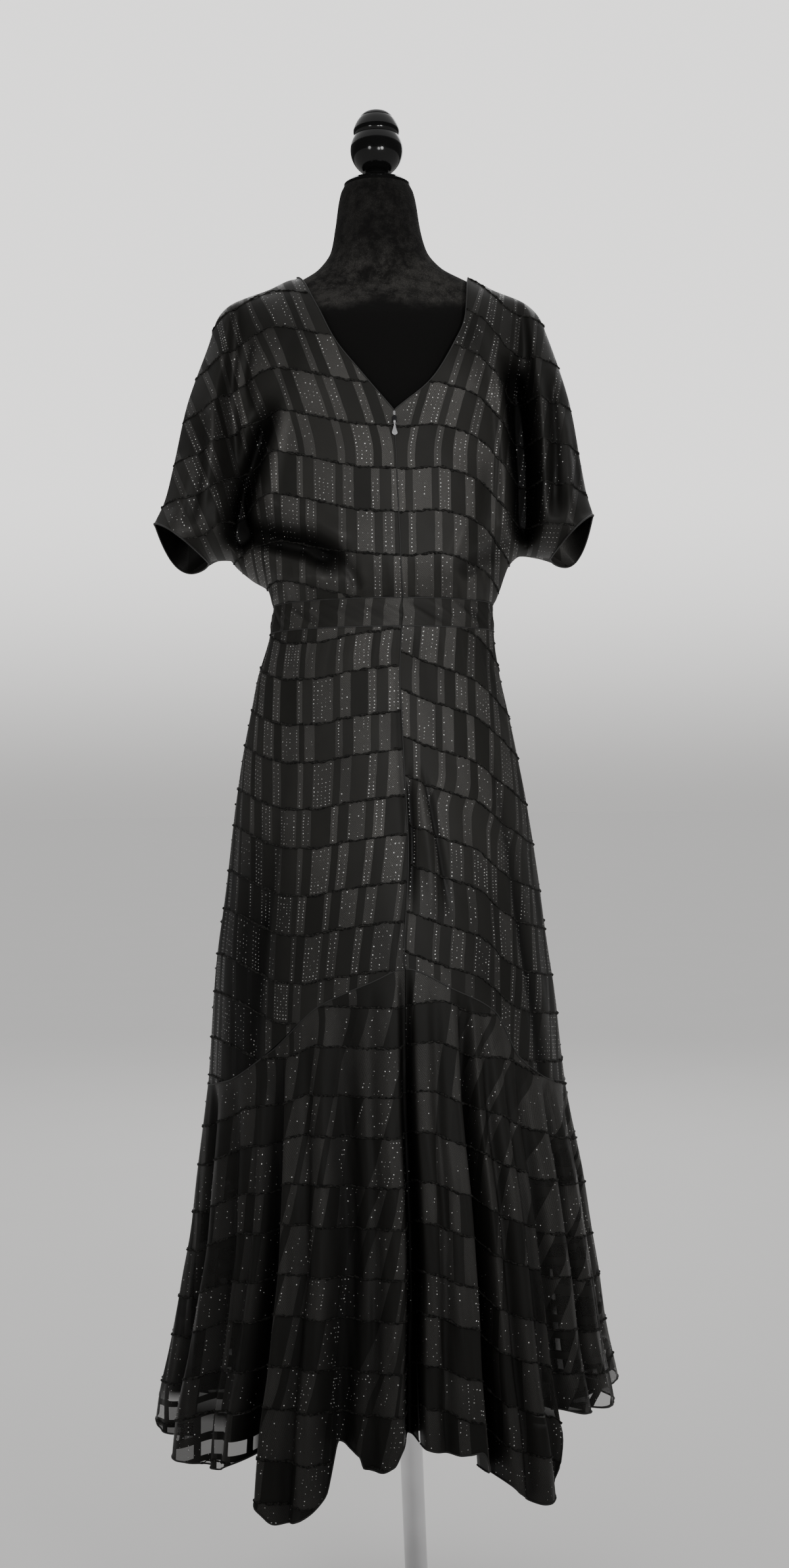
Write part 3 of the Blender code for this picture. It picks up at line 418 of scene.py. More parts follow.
def clearness(n, u, v, own, bar):
    """Clear squares in a lattice at the two sides of the hem, and grey ones above them beside the lining."""
    x, y, z = n.axes(n.place())
    x = n.math("SUBTRACT", x, BODY_X)
    side = n.span(y, .175, .15)
    left = n.mul(n.span(x, -.146, -.156), n.mul(n.span(z, .336, .322), side))
    right = n.mul(n.span(x, .196, .206), n.span(z, .272, .284), n.mul(n.span(z, .384, .372), side))
    column, row = n.math("DIVIDE", u, HEM_COLUMN), n.math("DIVIDE", v, HEM_ROW)
    square = n.mul(n.math("LESS_THAN", n.math("FRACT", column), .74),
                   n.math("LESS_THAN", n.math("FRACT", row), .66))
    cell = n.add("CombineXYZ", {"X": n.math("FLOOR", column), "Y": n.math("FLOOR", row)}).outputs[0]
    drawn = n.add("TexWhiteNoise", {"Vector": cell}).outputs[0]
    opened = n.mul(n.math("LESS_THAN", drawn, .8), n.madd(drawn, -.5, .46))
    hem = n.mul(n.math("MAXIMUM", left, right), n.mul(square, opened))
    rows = n.math("FRACT", n.madd(own, .8, n.math("DIVIDE", v, BAND / 2)))
    cells = n.mul(n.math("LESS_THAN", rows, .66), n.math("SUBTRACT", 1.0, bar))
    beside = n.math("MAXIMUM", n.span(x, .15, .185), n.span(x, -.15, -.18, 0.0, .35))
    grey = n.mul(beside, n.span(z, .68, .56), n.span(z, .33, .35, 0.0, .17))
    return n.math("MAXIMUM", hem, n.mul(grey, cells))


def cord_material():
    n = Nodes("raised_cord", Specular_IOR_Level=.15, Roughness=.8)
    tuft = n.ramp(n.noise(420.0, 3.0, n.place(), .7), [(.42, 0.0), (.66, 1.0)])
    n.set(Base_Color=n.mix(tuft, (.0035, .0034, .0031), (.034, .033, .03)), Normal=n.bump(tuft, .0006, .8))
    return n.material


def dot_material():
    n = Nodes("foil_dots", Metallic=1.0)
    speck = n.noise(700.0, 1.0, n.place())
    n.set(Base_Color=n.mix(speck, (.35, .35, .35), (.9, .9, .88)), Roughness=n.madd(speck, .25, .25))
    return n.material


def lining_material():
    n = Nodes("lining_satin", Specular_IOR_Level=.2)
    weave, cloud = n.noise(1500.0, 1.0, n.place()), n.noise(6.0, 3.0, n.place())
    n.set(Base_Color=n.mix(cloud, (.0025, .0025, .0025), (.005, .005, .005)),
          Roughness=n.madd(weave, .15, .5), Normal=n.bump(weave, .0002, .4))
    return n.material


def velvet_material():
    """Mottled pile with painted light above the bust line, less of it towards the top of the neck, and plain
    darker pile below.
    """
    n = Nodes("velvet_pile", Roughness=.95, Specular_IOR_Level=.1, Sheen_Weight=.02, Sheen_Roughness=.4)
    place = n.place()
    height = n.axes(place)[2]
    marks, patches = n.noise(75.0, 8.0, place, .75), n.noise(16.0, 4.0, place, .65)
    pile = n.noise(1100.0, 2.0, place)
    mottle_and_painted_light = n.ramp(n.math("ADD", n.mul(marks, .7), n.mul(patches, .3)), [(.42, .1), (.6, 1.0)])
    # painted light: the mottled pile is lighter above an uneven line near the bust, as if lit from above, less so
    # towards the top of the neck, and plain and dark below
    edge = n.madd(n.math("SUBTRACT", patches, .5), .05, height)
    mottle_and_painted_light = n.mul(mottle_and_painted_light, n.span(height, 1.632, 1.672, 1.0, .42), n.span(edge, 1.574, 1.592),
                    n.ramp(pile, [(.5, .6), (.7, 1.6)]))
    n.set(Base_Color=n.mix(mottle_and_painted_light, (.004, .0038, .0036), (.042, .04, .037)),
          Normal=n.bump(n.math("ADD", pile, marks), .0008, .5))
    return n.material


def gloss_material(name, colour, roughness, metallic=0.0, coat=0.0):
    n = Nodes(name, Metallic=metallic, Specular_IOR_Level=.25, Coat_Weight=coat, Coat_Roughness=.04)
    smear = n.noise(22.0, 4.0, n.place())
    n.set(Base_Color=n.mix(smear, shaded(colour, .8), shaded(colour, 1.15)),
          Roughness=n.madd(smear, roughness * .6, roughness * .7), Normal=n.bump(smear, .0004, .05))
    return n.material


# ---- Meshes
CORD_RADIUS, CORD_STEP = .0015, .0024
DOT_SIZE, DOT_ROWS = .00046, 12          # radius, and how many rows of dots fit in a band
SHORTEST = 4                              # columns of a line that a cord or dots still follow


def object_of(name, points, faces, material, uv=None):
    """A smooth mesh that rides on the form."""
    mesh = bpy.data.meshes.new(name)
    mesh.from_pydata([tuple(p) for p in points], [], [tuple(f) for f in faces])
    mesh.shade_smooth()
    mesh.materials.append(material)
    if uv is not None:
        layer = mesh.uv_layers.new(name="cloth")
        corner = np.empty(len(mesh.loops), int)
        mesh.loops.foreach_get("vertex_index", corner)
        layer.data.foreach_set("uv", np.asarray(uv, np.float32)[corner].ravel())
    made = in_scene(name, mesh)
    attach(made, ROOT)
    return made


def ring_faces(rows, columns):
    """Faces round a stack of closed rings."""
    index = np.arange(rows * columns).reshape(rows, columns)
    ahead = np.roll(index, -1, axis=1)
    return np.stack([index[:-1], ahead[:-1], ahead[1:], index[1:]], axis=-1).reshape(-1, 4)


def closed_faces(rows, columns):
    """The same, with its two ends closed."""
    return [*ring_faces(rows, columns), np.arange(columns)[::-1], np.arange(columns) + (rows - 1) * columns]


def unit(vectors):
    return vectors / np.maximum(np.linalg.norm(vectors, axis=-1, keepdims=True), 1e-12)


def lengths(points, axis):
    """The way gone along one axis of a grid of points, from 0."""
    steps = np.linalg.norm(np.diff(points, axis=axis), axis=-1)
    return np.insert(np.cumsum(steps, axis=axis), 0, 0.0, axis=axis)


def area_of(points):
    across, down = np.diff(points[:-1], axis=1), np.diff(points[:, :-1], axis=0)
    return float(np.linalg.norm(np.cross(down, across), axis=-1).sum())


def read_along(at, places, field):
    """Rows of field, one for each of places, read at other places between them."""
    return np.stack([np.interp(at, places, field[:, i]) for i in range(3)], axis=1)


def runs(mask):
    """Start and end of each unbroken run of true values."""
    edges = np.flatnonzero(np.diff(np.concatenate([[0], mask.astype(int), [0]])))
    return list(zip(edges[::2], edges[1::2]))


class Panel:
    """A sheet of cloth as a grid: its points, and their place on the cloth's plane."""

    def __init__(self, kind, side, grid, uv, deep=0.0, flip=False):
        self.kind, self.side, self.name = kind, side, kind + "_" + side
        self.grid, self.uv = grid, uv
        self.normal = unit(np.cross(np.gradient(grid, axis=0), np.gradient(grid, axis=1))) * (-1 if flip else 1)
        self.fields = np.concatenate([uv[:, :, :1], grid, self.normal], axis=-1)
        self.low, self.high = uv[:, :, 1].min() / BAND, uv[:, :, 1].max() / BAND
        index = np.arange(grid[:, :, 0].size).reshape(grid.shape[:2])
        faces = np.stack([index[:-1, :-1], index[1:, :-1], index[1:, 1:], index[:-1, 1:]], axis=-1).reshape(-1, 4)
        self.object = object_of(self.name + "_cloth", grid.reshape(-1, 3), faces[:, ::-1] if flip else faces,
                                MATERIALS[kind], uv.reshape(-1, 2))
        # deep is painted shade, one value a point, which darkens the cloth and takes away its lustre
        layer = self.object.data.attributes.new("deep", "FLOAT", "POINT")
        deep = np.broadcast_to(np.clip(deep, 0.0, 1.0), index.shape)
        layer.data.foreach_set("value", deep.astype(np.float32).ravel())
        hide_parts(self.name)

    def lines(self, v):
        """The lines where the cloth's plane is at height v: u, points and normals of each."""
        heights = self.uv[:, :, 1]
        crossing = (heights[:-1] - v) * (heights[1:] - v) <= 0
        row, c = crossing.argmax(axis=0), np.arange(heights.shape[1])
        a, b = heights[row, c], heights[row + 1, c]
        share = np.where(crossing.any(axis=0), (v - a) / np.where(b == a, 1, b - a), np.nan)[:, None]
        mixed = self.fields[row, c] + (self.fields[row + 1, c] - self.fields[row, c]) * share
        for start, end in runs(~np.isnan(mixed[:, 0])):
            if end - start >= SHORTEST:
                yield mixed[start:end, 0], mixed[start:end, 1:4], mixed[start:end, 4:]


def make_cords(panel):
    """The raised wavy cords of a panel, rough as a chenille: thick and thin by turns, with small tufts."""
    verts, faces, count = [], [], 0
    for k in range(math.ceil(panel.low), math.floor(panel.high) + 1):
        for _, points, normals in panel.lines(k * BAND):
            length = lengths(points, 0)
            steps = max(int(length[-1] / CORD_STEP), 4)
            at, number = np.linspace(0, length[-1], steps), np.arange(steps)
            line, up = read_along(at, length, points), read_along(at, length, normals)
            beads = .42 + .85 * hashed(number, k, len(panel.name)) ** 1.5 + .25 * noise1(at * 190, k)
            width = CORD_RADIUS * np.clip(beads, .25, 1.5)[:, None]
            width[0] = width[-1] = CORD_RADIUS * .3
            line[:, 2] += (hashed(number, k + 9, 3) - .5) * .0013 + noise1(at * 260, k + 5) * .0006
            line = line + up * .0003
            across = unit(np.cross(unit(np.gradient(line, axis=0)), up)) * width
            up = up * width
            verts.append(np.stack([line + across, line + up * 1.05, line - across, line - up * .5], axis=1))
            faces.append(ring_faces(steps, 4) + count)
            count += 4 * steps
    return object_of(panel.name + "_cords", np.concatenate(verts).reshape(-1, 3), np.concatenate(faces),
                     MATERIALS["cord"])


def dot_places(low_u, high_u, band, row, seed, density, wild):
    """Where on one level of a band the foil dots are: lines along the lustrous bars, with gaps."""
    shift = BAND_JITTER * math.sin(band * 2.4)
    spots = []
    for turn in range(math.floor((low_u + shift) / REPEAT), math.floor((high_u + shift) / REPEAT) + 1):
        at = turn * REPEAT - shift
        for k, width in enumerate(COLUMNS):
            own = (.618 * band + hashed(k, 5)) % 1.0
            lines = max(int(width / 4.6), 1) if (own > WILD if wild else (k + band) % 2) else 0
            busy = hashed(band, k, turn, seed)
            for line in range(lines):
                wanted = density * (.2 + 1.1 * busy) * (1.6 if line in (0, lines - 1) else .75)
                wanted *= .6 + .7 * hashed(line + 3, k + 7, band, seed + turn)
                if hashed(row + 11 * line, k + 5, band + 2 * turn, seed) < wanted:
                    off = (hashed(row, line, k, band) - .5) * .0009
                    spots.append(at + width / 1000 * (line + .5) / lines + off)
            at += width / 1000
    return np.array([s for s in spots if low_u < s < high_u])


def make_dots(panel, seed, density):
    """Small foil dots in upright lines on the lustrous bars of a panel."""
    pitch, wild = BAND / DOT_ROWS, panel.kind == "flounce"
    centres, ups = [], []
    for band in range(math.floor(panel.low), math.floor(panel.high) + 1):
        for row in range(1, DOT_ROWS):
            for u, points, normals in panel.lines(band * BAND + row * pitch):
                order = np.argsort(u)
                u = u[order]
                spots = dot_places(u[0], u[-1], band, row, seed, density, wild)
                if len(spots):
                    centres.append(read_along(spots, u, points[order]))
                    ups.append(read_along(spots, u, normals[order]))
    centres, ups = np.concatenate(centres), unit(np.concatenate(ups))
    side = unit(np.cross(ups, (0.0, 0.0, 1.0)))
    rise = np.cross(side, ups)
    number = np.arange(len(centres))
    radius = (DOT_SIZE * (.55 + 1.15 * hashed(number, seed) ** 1.5))[:, None]
    lean = (hashed(number, seed + 3) - .5)[:, None] * side + (hashed(number, seed + 7) - .5)[:, None] * rise
    corners = [centres + ups * .0008 + lean * radius * 2.8]
    for k in range(5):
        angle = 2 * math.pi * k / 5
        corners.append(centres + (side * math.cos(angle) + rise * math.sin(angle)) * radius + ups * .0003)
    base = number[:, None] * 6
    faces = [np.concatenate([base, base + 1 + k, base + 1 + (k + 1) % 5], axis=1) for k in range(5)]
    return object_of(panel.name + "_dots", np.stack(corners, axis=1).reshape(-1, 3), np.concatenate(faces),
                     MATERIALS["dots"])


def edge_tube(name, points, radius, sides=6):
    """A thin rolled edge along a line of points."""
    tangent = unit(np.gradient(points, axis=0))
    a = unit(np.cross(tangent, (.3, .1, 1.0)))
    b = np.cross(tangent, a)
    turns = [2 * math.pi * k / sides for k in range(sides)]
    verts = np.stack([points + (a * math.cos(turn) + b * math.sin(turn)) * radius for turn in turns], axis=1)
    return object_of(name, verts.reshape(-1, 3), closed_faces(len(points), sides), MATERIALS["edge"])


# ---- Skirt, flounce, waistband, lining
# how high a cord runs beside where it leaves the seam: distance along the cloth, height
SKIRT_LINES = {
    "back_left": [(-.34, .004), (-.24, .013), (-.19, .008), (-.149, -.003), (-.107, -.011),
                  (-.071, -.011), (-.039, -.005), (.03, .004)],
    "back_right": [(0.0, 0.0), (.028, -.012), (.075, -.026), (.098, -.033), (.125, -.048), (.155, -.063),
                   (.2, -.078), (.3, -.092)],
    "front": [(-.4, -.03), (-.3, -.006), (-.22, -.012), (-.12, .004), (-.05, -.008), (.03, -.012),
              (.11, .003), (.19, -.01), (.28, -.004), (.4, -.03)],
}
FLOUNCE_LINES = {
    "back_left": [(-.7, -.1), (-.45, -.075), (-.3, -.058), (-.22, -.04), (-.16, -.018), (-.1, -.012),
                  (-.05, .002), (.03, 0.0)],
    "back_right": [(0.0, 0.0), (.05, .006), (.1, -.01), (.16, -.018), (.22, -.04), (.3, -.062),
                   (.55, -.1)],
    "front": [(-1.0, -.12), (-.6, -.06), (-.35, -.035), (-.15, -.004), (0.0, -.012), (.15, -.002),
              (.35, -.03), (.6, -.06), (1.0, -.12)],
}
LEVEL = [(-1.0, 0.0), (1.0, 0.0)]          # cords that run straight
PARTS = {
    "back_left": (-SIDE_ANGLE, BACK_SEAM_ANGLE),
    "back_right": (BACK_SEAM_ANGLE, SIDE_ANGLE),
    "front": (SIDE_ANGLE, FRONT_END),
}
# folds of the upper skirt: angle at a height of 1 m, how it leans below that, half width, depth
SKIRT_FOLDS = [
    (-52, 0, 7, .0022), (-76, 0, 9, .0036), (-30, 0, 10, -.0012), (53, 20, 3.4, .0046), (74, 0, 7, .0028),
    (-41, -16, 3.6, .0034), (-34, -10, 4, -.002),
]
# puckers of the seam down the back, below the zip's end
PUCKERS = [(11.6, 0, 1.3, .006), (15.5, 30, 2.2, -.005), (19.5, 46, 1.4, .0045)]


def oval(table, heights):
    """Half width, half depth and middle of a table's ovals at some heights."""
    return [curve(table, k, heights) for k in (1, 2, 3)]


def ring_grid(table, angles, heights, drawn_in=0.0):
    """Points for arrays of angles and heights, drawn towards the axis by drawn_in."""
    half_width, half_depth, middle = oval(table, heights)
    a = np.radians(angles)
    across, deep = half_width * np.sin(a), half_depth * np.cos(a)
    share = 1.0 - drawn_in / np.hypot(across, deep)
    return np.stack([BODY_X + middle + across * share, -deep * share, heights + 0 * a], axis=-1)


def cloth_plane(grid, start, lines=LEVEL, first=0.0, seam_lengths=None):
    """u along the cloth and v up it, bent so that its cords are level lines of v."""
    u = lengths(grid, 1)
    u = u - u[:, u.shape[1] // 2, None] if seam_lengths is None else u + seam_lengths[:, None]
    v = start - lengths(grid, 0) - curve(lines, 1, u - first)
    return np.stack([u, v + .0032 * np.sin(math.pi * v / BAND + .8)], axis=-1)


def signed_arc(heights, start, end):
    """Length along the skirt's oval from angle start to angle end at each height, signed."""
    grid = ring_grid(SKIRT, np.linspace(start, end, 60), heights[:, None])
    return lengths(grid, 1)[:, -1] * (1.0 if end >= start else -1.0)


def seam_drift(angles, z):
    """The seam down the back and what is beside it lean to the left below the hip."""
    return angles - 2.6 * ramp(-z, -.98, -.84) * bell(turned_angle(angles), 9.0, 20.0)


def skirt_folds(angles, z):
    """Soft troughs and ridges of the upper skirt: metres inwards."""
    a = turned_angle(angles)
    low = ramp(-z, -1.12, -.86)
    pucker = ramp(-z, -1.06, -1.01) * (1 - ramp(-z, -.94, -.87))
    total = .0018 * bell(a, 9.0, 1.2) * ramp(-z, -1.2, -1.1)
    for table, there in ((SKIRT_FOLDS, low), (PUCKERS, pucker)):
        for place, lean, spread, depth in table:
            total = total + depth * bell(a, place + lean * (1.0 - z), spread) * there
    for k, place in enumerate((-160, -128, -104, 102, 126, 150, 174)):
        total = total + (.0024 + .0006 * (k % 3)) * bell(turned_angle(a - place), 0, 8) * low
    gathers = noise1(np.radians(a) * 26, 3.0) * .0012 * ramp(z, 1.13, 1.21)
    return total + gathers + noise1(np.radians(a) * 7 + z * 9, 5.0) * .0008


def flounce_folds(angles, share, z):
    """Deep flutes of the flounce: metres inwards."""
    a = turned_angle(angles)
    grow = (1 - np.exp(-share / .26)) * (.84 + .16 * share)
    total = noise1(np.radians(a) * 26 + z * 14, 2.0) * .0016 * share - .006 * grow
    for top, low, spread, depth, steep in FLUTES:
        near = np.abs(turned_angle(a - (top + (low - top) * share)))
        total = total + grow * (depth * np.exp(-((near / spread) ** steep)) + .009 * bell(near, 0, spread * 2.3))
    for place, spread, height in FLUTE_EDGES:
        total = total - height * grow * bell(a, place, spread)
    return total


def panel_grid(first, last, per_degree, rows, top, bottom):
    """Angles, shares downwards and heights of a panel between two edges, each a function of the angle."""
    angles = np.linspace(first + SEAM_TRIM, last - SEAM_TRIM, int((last - first) / per_degree))
    share = np.linspace(0, 1, rows)[:, None]
    z = top(angles) + (bottom(angles) - top(angles)) * share
    return np.broadcast_to(angles, z.shape), share, z


def make_lower():
    """Waistband, skirt, flounce and lining."""
    panels = []
    level = lambda height: lambda a: height + 0 * a
    seam = lambda a: curve(FLOUNCE_SEAM, 1, turned_angle(a))
    hem = lambda a: curve(HEM, 1, turned_angle(a))
    for side, (first, last) in PARTS.items():
        centre = 180.0 if side == "front" else .0
        half, origin = (.5 * BAND, .026) if side == "back_right" else (0.0, 0.0)

        a, share, z = panel_grid(first, last, .9, 12, level(BAND_TOP), level(BAND_BOTTOM))
        wrinkle = noise1(np.radians(a) * 11 + z * 150, 1.0) * .0024 * np.sin(np.pi * share)
        grid = ring_grid(SKIRT, a, z, wrinkle)
        # painted shade where the wrinkles run inwards
        panels.append(Panel("waistband", side, grid, cloth_plane(grid, .288), wrinkle / .005))

        a, share, z = panel_grid(first, last, .8, 84, level(BAND_BOTTOM - SEAM_GAP), seam)
        folds = skirt_folds(a, z) * np.minimum(1, share * 12)
        grid = ring_grid(SKIRT, seam_drift(a, z), z, folds)
        uv = cloth_plane(grid, .003 + half, SKIRT_LINES[side], origin, signed_arc(z[:, 0], centre, a[0, 0]))
        turned = turned_angle(a)
        # painted shade: the skirt darker and less lustrous towards its foot, more so on the left of its back, and
        # in the troughs of its folds
        dull_and_painted_shade = ramp(-z, -1.02, -.84) * (.28 + .3 * ramp(-turned, 22, 62) * (np.abs(turned) < 100))
        panels.append(Panel("skirt", side, grid, uv, np.maximum(folds / .006, 0) + dull_and_painted_shade))

        a, share, z = panel_grid(first, last, .34, 90, lambda a: seam(a) - SLANTED_GAP, hem)
        drifted = seam_drift(a, z)
        folds = flounce_folds(drifted, share, z)
        grid = ring_grid(SKIRT, drifted, z, folds)
        uv = cloth_plane(grid, seam(a) - .4, FLOUNCE_LINES[side], origin, signed_arc(z[:, 0], centre, a[0, 0]))
        # the flounce less lustrous and darker all over, as its cloth is, with painted shade on the left of its
        # back and in the valleys of its flutes
        dull_and_painted_shade = .26 + .22 * ramp(-turned_angle(a), 44, 62) * (side != "front")
        panels.append(Panel("flounce", side, grid, uv, dull_and_painted_shade + .66 * np.maximum(folds, 0) / .027))
    for side, first in (("back", -90.0), ("front", 90.0)):
        a, share, z = panel_grid(first, first + 180.0, 2.0, 60, level(LINING_TOP), level(LINING_HEM))
        folds = noise1(np.radians(a) * 9, 4.0 + first) * .0035 * ramp(share, .25, 1.0)
        grid = ring_grid(LINING, a, z, folds + .004 * ramp(share, .3, 1.0))
        panels.append(Panel("lining", side, grid, cloth_plane(grid, 0.0)))
    return panels


# ---- Bodice
# Its creases by the way they face, -1 for the back: points as x and height, width, and depth,
# which is under 0 for a ridge.
CREASES = {-1: [
    ([(-.124, 1.48), (-.14, 1.43), (-.156, 1.385), (-.167, 1.34), (-.172, 1.3)], .013, .044),
    ([(-.11, 1.47), (-.12, 1.42), (-.129, 1.37), (-.128, 1.335)], .009, -.007),
    ([(-.178, 1.338), (-.15, 1.324), (-.12, 1.312), (-.082, 1.3), (-.042, 1.276)], .014, .04),
    ([(-.165, 1.376), (-.12, 1.35), (-.075, 1.328), (-.035, 1.3)], .01, -.007),
    ([(-.15, 1.285), (-.11, 1.27), (-.06, 1.258)], .008, -.005),
    ([(-.06, 1.3), (-.035, 1.268), (-.025, 1.248)], .006, .006),
    ([(-.148, 1.55), (-.158, 1.505), (-.147, 1.455)], .006, .007),
    ([(-.16, 1.54), (-.168, 1.48), (-.16, 1.43)], .006, -.006),
    ([(-.176, 1.53), (-.18, 1.47), (-.176, 1.41), (-.188, 1.35)], .008, .01),
    ([(-.205, 1.46), (-.21, 1.39), (-.226, 1.32)], .009, .008),
    ([(-.194, 1.48), (-.196, 1.42), (-.206, 1.34)], .006, -.005),
    ([(-.235, 1.42), (-.246, 1.35)], .009, -.005),
    ([(.15, 1.53), (.16, 1.46), (.167, 1.38), (.165, 1.3)], .013, .048),
    ([(.132, 1.53), (.139, 1.45), (.143, 1.37), (.14, 1.3)], .007, -.009),
    ([(.182, 1.5), (.184, 1.42), (.182, 1.325)], .0055, -.009),
    ([(.197, 1.51), (.2, 1.42), (.2, 1.33)], .007, .013),
    ([(.215, 1.47), (.218, 1.4), (.217, 1.33)], .006, -.008),
    ([(.229, 1.43), (.234, 1.36)], .007, .008),
    ([(.15, 1.315), (.12, 1.292), (.085, 1.266)], .01, .014),
    ([(.128, 1.4), (.118, 1.34), (.11, 1.3)], .01, .005),
    ([(.1, 1.33), (.085, 1.29), (.075, 1.255)], .007, -.004),
    ([(-.085, 1.56), (-.105, 1.52), (-.11, 1.48)], .012, .003),
    ([(.1, 1.56), (.12, 1.52), (.126, 1.48)], .012, .003),
], 1: [
    ([(-.13, 1.5), (-.146, 1.43), (-.162, 1.37), (-.168, 1.3)], .013, .038),
    ([(-.165, 1.345), (-.12, 1.318), (-.075, 1.285)], .013, .024),
    ([(-.11, 1.48), (-.122, 1.42), (-.128, 1.35)], .009, -.006),
    ([(-.19, 1.5), (-.194, 1.43), (-.205, 1.345)], .008, .009),
    ([(-.225, 1.43), (-.238, 1.34)], .009, -.005),
    ([(.136, 1.51), (.152, 1.44), (.164, 1.37), (.166, 1.3)], .013, .04),
    ([(.168, 1.34), (.12, 1.315), (.07, 1.285)], .013, .022),
    ([(.118, 1.48), (.13, 1.42), (.136, 1.35)], .008, -.006),
    ([(.192, 1.5), (.198, 1.43), (.202, 1.34)], .008, .01),
    ([(.222, 1.44), (.23, 1.345)], .008, -.006),
    ([(.04, 1.44), (.025, 1.36), (.015, 1.29)], .011, .004),
    ([(-.04, 1.43), (-.03, 1.35), (-.022, 1.28)], .011, .004),
]}
# how high a cord runs beside where it crosses the seam: x, height
BODICE_LINES = {
    "back_left": [(-.3, -.03), (-.24, -.024), (-.21, -.018), (-.18, .002), (-.15, .018), (-.122, .027),
                  (-.1, .023), (-.065, .013), (-.02, .003), (.03, 0.0)],
    "back_right": [(0.0, 0.0), (.03, 0.0), (.06, .003), (.09, -.002), (.115, -.012), (.135, -.032),
                   (.15, -.048), (.18, -.056), (.21, -.06), (.26, -.072)],
    "front": [(-.28, -.04), (-.2, -.016), (-.14, .004), (-.07, -.006), (0.0, .004), (.07, -.005),
              (.14, .004), (.2, -.016), (.28, -.04)],
}
# how much the bars lean beside the neckline and on the sleeve, and how far they are moved
LEANS = {"back_left": (.42, .42, 0.0), "back_right": (-.4, -.22, .009), "front": (0.0, 0.0, 0.0)}
# painted shade in creases grows with their depth up to this one
DEEPEST = .036               # a crease this deep is as dark as one gets


def edge_points(table, first):
    shares = np.linspace(first, 1.0, 61)
    return np.stack([curve(table, 1, shares), curve(table, 2, shares)], axis=1)


SEAMS = [edge_points(TOP_LEFT, NECK_POINT), edge_points(BOTTOM_LEFT, WAIST_SIDE),
         edge_points(TOP_RIGHT, NECK_POINT), edge_points(BOTTOM_RIGHT, WAIST_SIDE)]


def beside(points, x, z):
    """How far each place is from a line of points, and its share of the way along it."""
    nearest, along = np.full(x.shape, 1.0), np.zeros(x.shape)
    for k, ((ax, az), (bx, bz)) in enumerate(zip(points, points[1:])):
        dx, dz = bx - ax, bz - az
        share = np.clip(((x - ax) * dx + (z - az) * dz) / (dx * dx + dz * dz), 0, 1)
        off = np.hypot(x - ax - share * dx, z - az - share * dz)
        along = np.where(off < nearest, (k + share) / (len(points) - 1), along)
        nearest = np.minimum(off, nearest)
    return nearest, along


def crease(points, width, x, z):
    """1 on a crease's line, fading beside it and towards its two ends."""
    nearest, along = beside(points, x, z)
    return np.exp(-((nearest / width) ** 2.6)) * ramp(along, -.02, .22) * (1 - ramp(along, .82, 1.04))


def bodice_folds(x, z, face):
    """Metres inwards."""
    total = noise1(x * 170 + z * 20, 2.0 + face) * .0026 * (1 - ramp(z, 1.247, 1.3))
    for points, width, depth in CREASES[face]:
        total = total + depth * crease(points, width, x, z)
    return total + noise1(x * 34 + z * 22, face) * .0009


def bodice_shade(x, z, face):
    """Painted shade: 0 on open cloth, 1 at the bottom of a deep crease; more on the front's sleeve ends, and on
    the back's sleeves and shoulders.
    """
    total = 0.0 * x
    for points, width, depth in CREASES[face]:
        if depth > 0:
            total = total + depth / DEEPEST * crease(points, width * 1.12, x, z)
    # painted shade on the front's sleeve ends, low by the cuffs
    if face > 0:
        total = total + .7 * ramp(np.abs(x), .2, .235) * ramp(-z, -1.43, -1.36)
    # painted shade over the back's sleeves, more on the right one, and over its shoulders
    sleeve = ramp(x, .135, .165) * .42 + ramp(-x, .15, .2) * .26
    shoulder_painted_shade = .36 * ramp(z, 1.47, 1.56) * ramp(np.abs(x), .03, .11)
    return np.minimum(total, 1.0) * .95 + np.maximum(sleeve, shoulder_painted_shade) * (face < 0)


def torso_depth(x, z):
    half_width, half_depth, _ = oval(TORSO, z)
    share = np.minimum(np.abs(x) / half_width, 1.0)
    return half_depth * np.sqrt(1.0 - share * share)


def round_depth(x, z):
    """How far body and sleeve stand out where nothing draws them in."""
    half_width, half_depth, middle = oval(BODICE, z)
    share = (x - middle) / half_width
    body = half_depth * np.sqrt(np.maximum(0.0, 1.0 - share * share))
    sleeve = SLEEVE_DEPTH * ramp(np.abs(x), SLEEVE_FROM, SLEEVE_TO)
    return -smooth_min(-body, -sleeve, .02)


def bodice_depth(x, z, face):
    """How far the bodice stands from the plane through its side seams, folds included."""
    near = np.minimum.reduce([beside(line, x, z)[0] for line in SEAMS])
    deep = smooth_min(round_depth(x, z), curve(SWELLS, 1, z) * np.sqrt(near), .012)
    folded = deep - bodice_folds(x, z, face) * ramp(near, 0.0, .022)
    return np.maximum(np.maximum(SEAM_GAP / 2, folded), np.minimum(deep, torso_depth(x, z) + .0015))


def half_grid(top, bottom, face, shift=0.0):
    """A fan of rows from the top edge to the bottom one: points, and x and height before the cuff hangs."""
    shares = np.concatenate([np.linspace(0, NECK_POINT, 44)[:-1], np.linspace(NECK_POINT, WAIST_SIDE, 22)[:-1],
                             np.linspace(WAIST_SIDE, 1.0, 70)])
    s, t = np.meshgrid(shares, .5 - .5 * np.cos(np.linspace(0, math.pi, 104)))
    x, z = (curve(top, k, s) * (1 - t) + curve(bottom, k, s) * t for k in (1, 2))
    depth = bodice_depth(x, z, face)
    depth[0, shares >= NECK_POINT - 1e-9] = SEAM_GAP / 2
    depth[-1, shares >= WAIST_SIDE - 1e-9] = SEAM_GAP / 2
    # the cuff's far side hangs lower than the near one
    hang = ramp(s, .8, 1.0) * np.sin(math.pi * t) ** .8 * (.024 if face > 0 else -.003)
    grid = np.stack([x + hang * np.sign(top[-1][1]) * .45, face * depth, z - hang * .9], axis=-1)
    grid[:, 0, 0] += shift
    return grid + (BODY_X, 0.0, 0.0), x, z


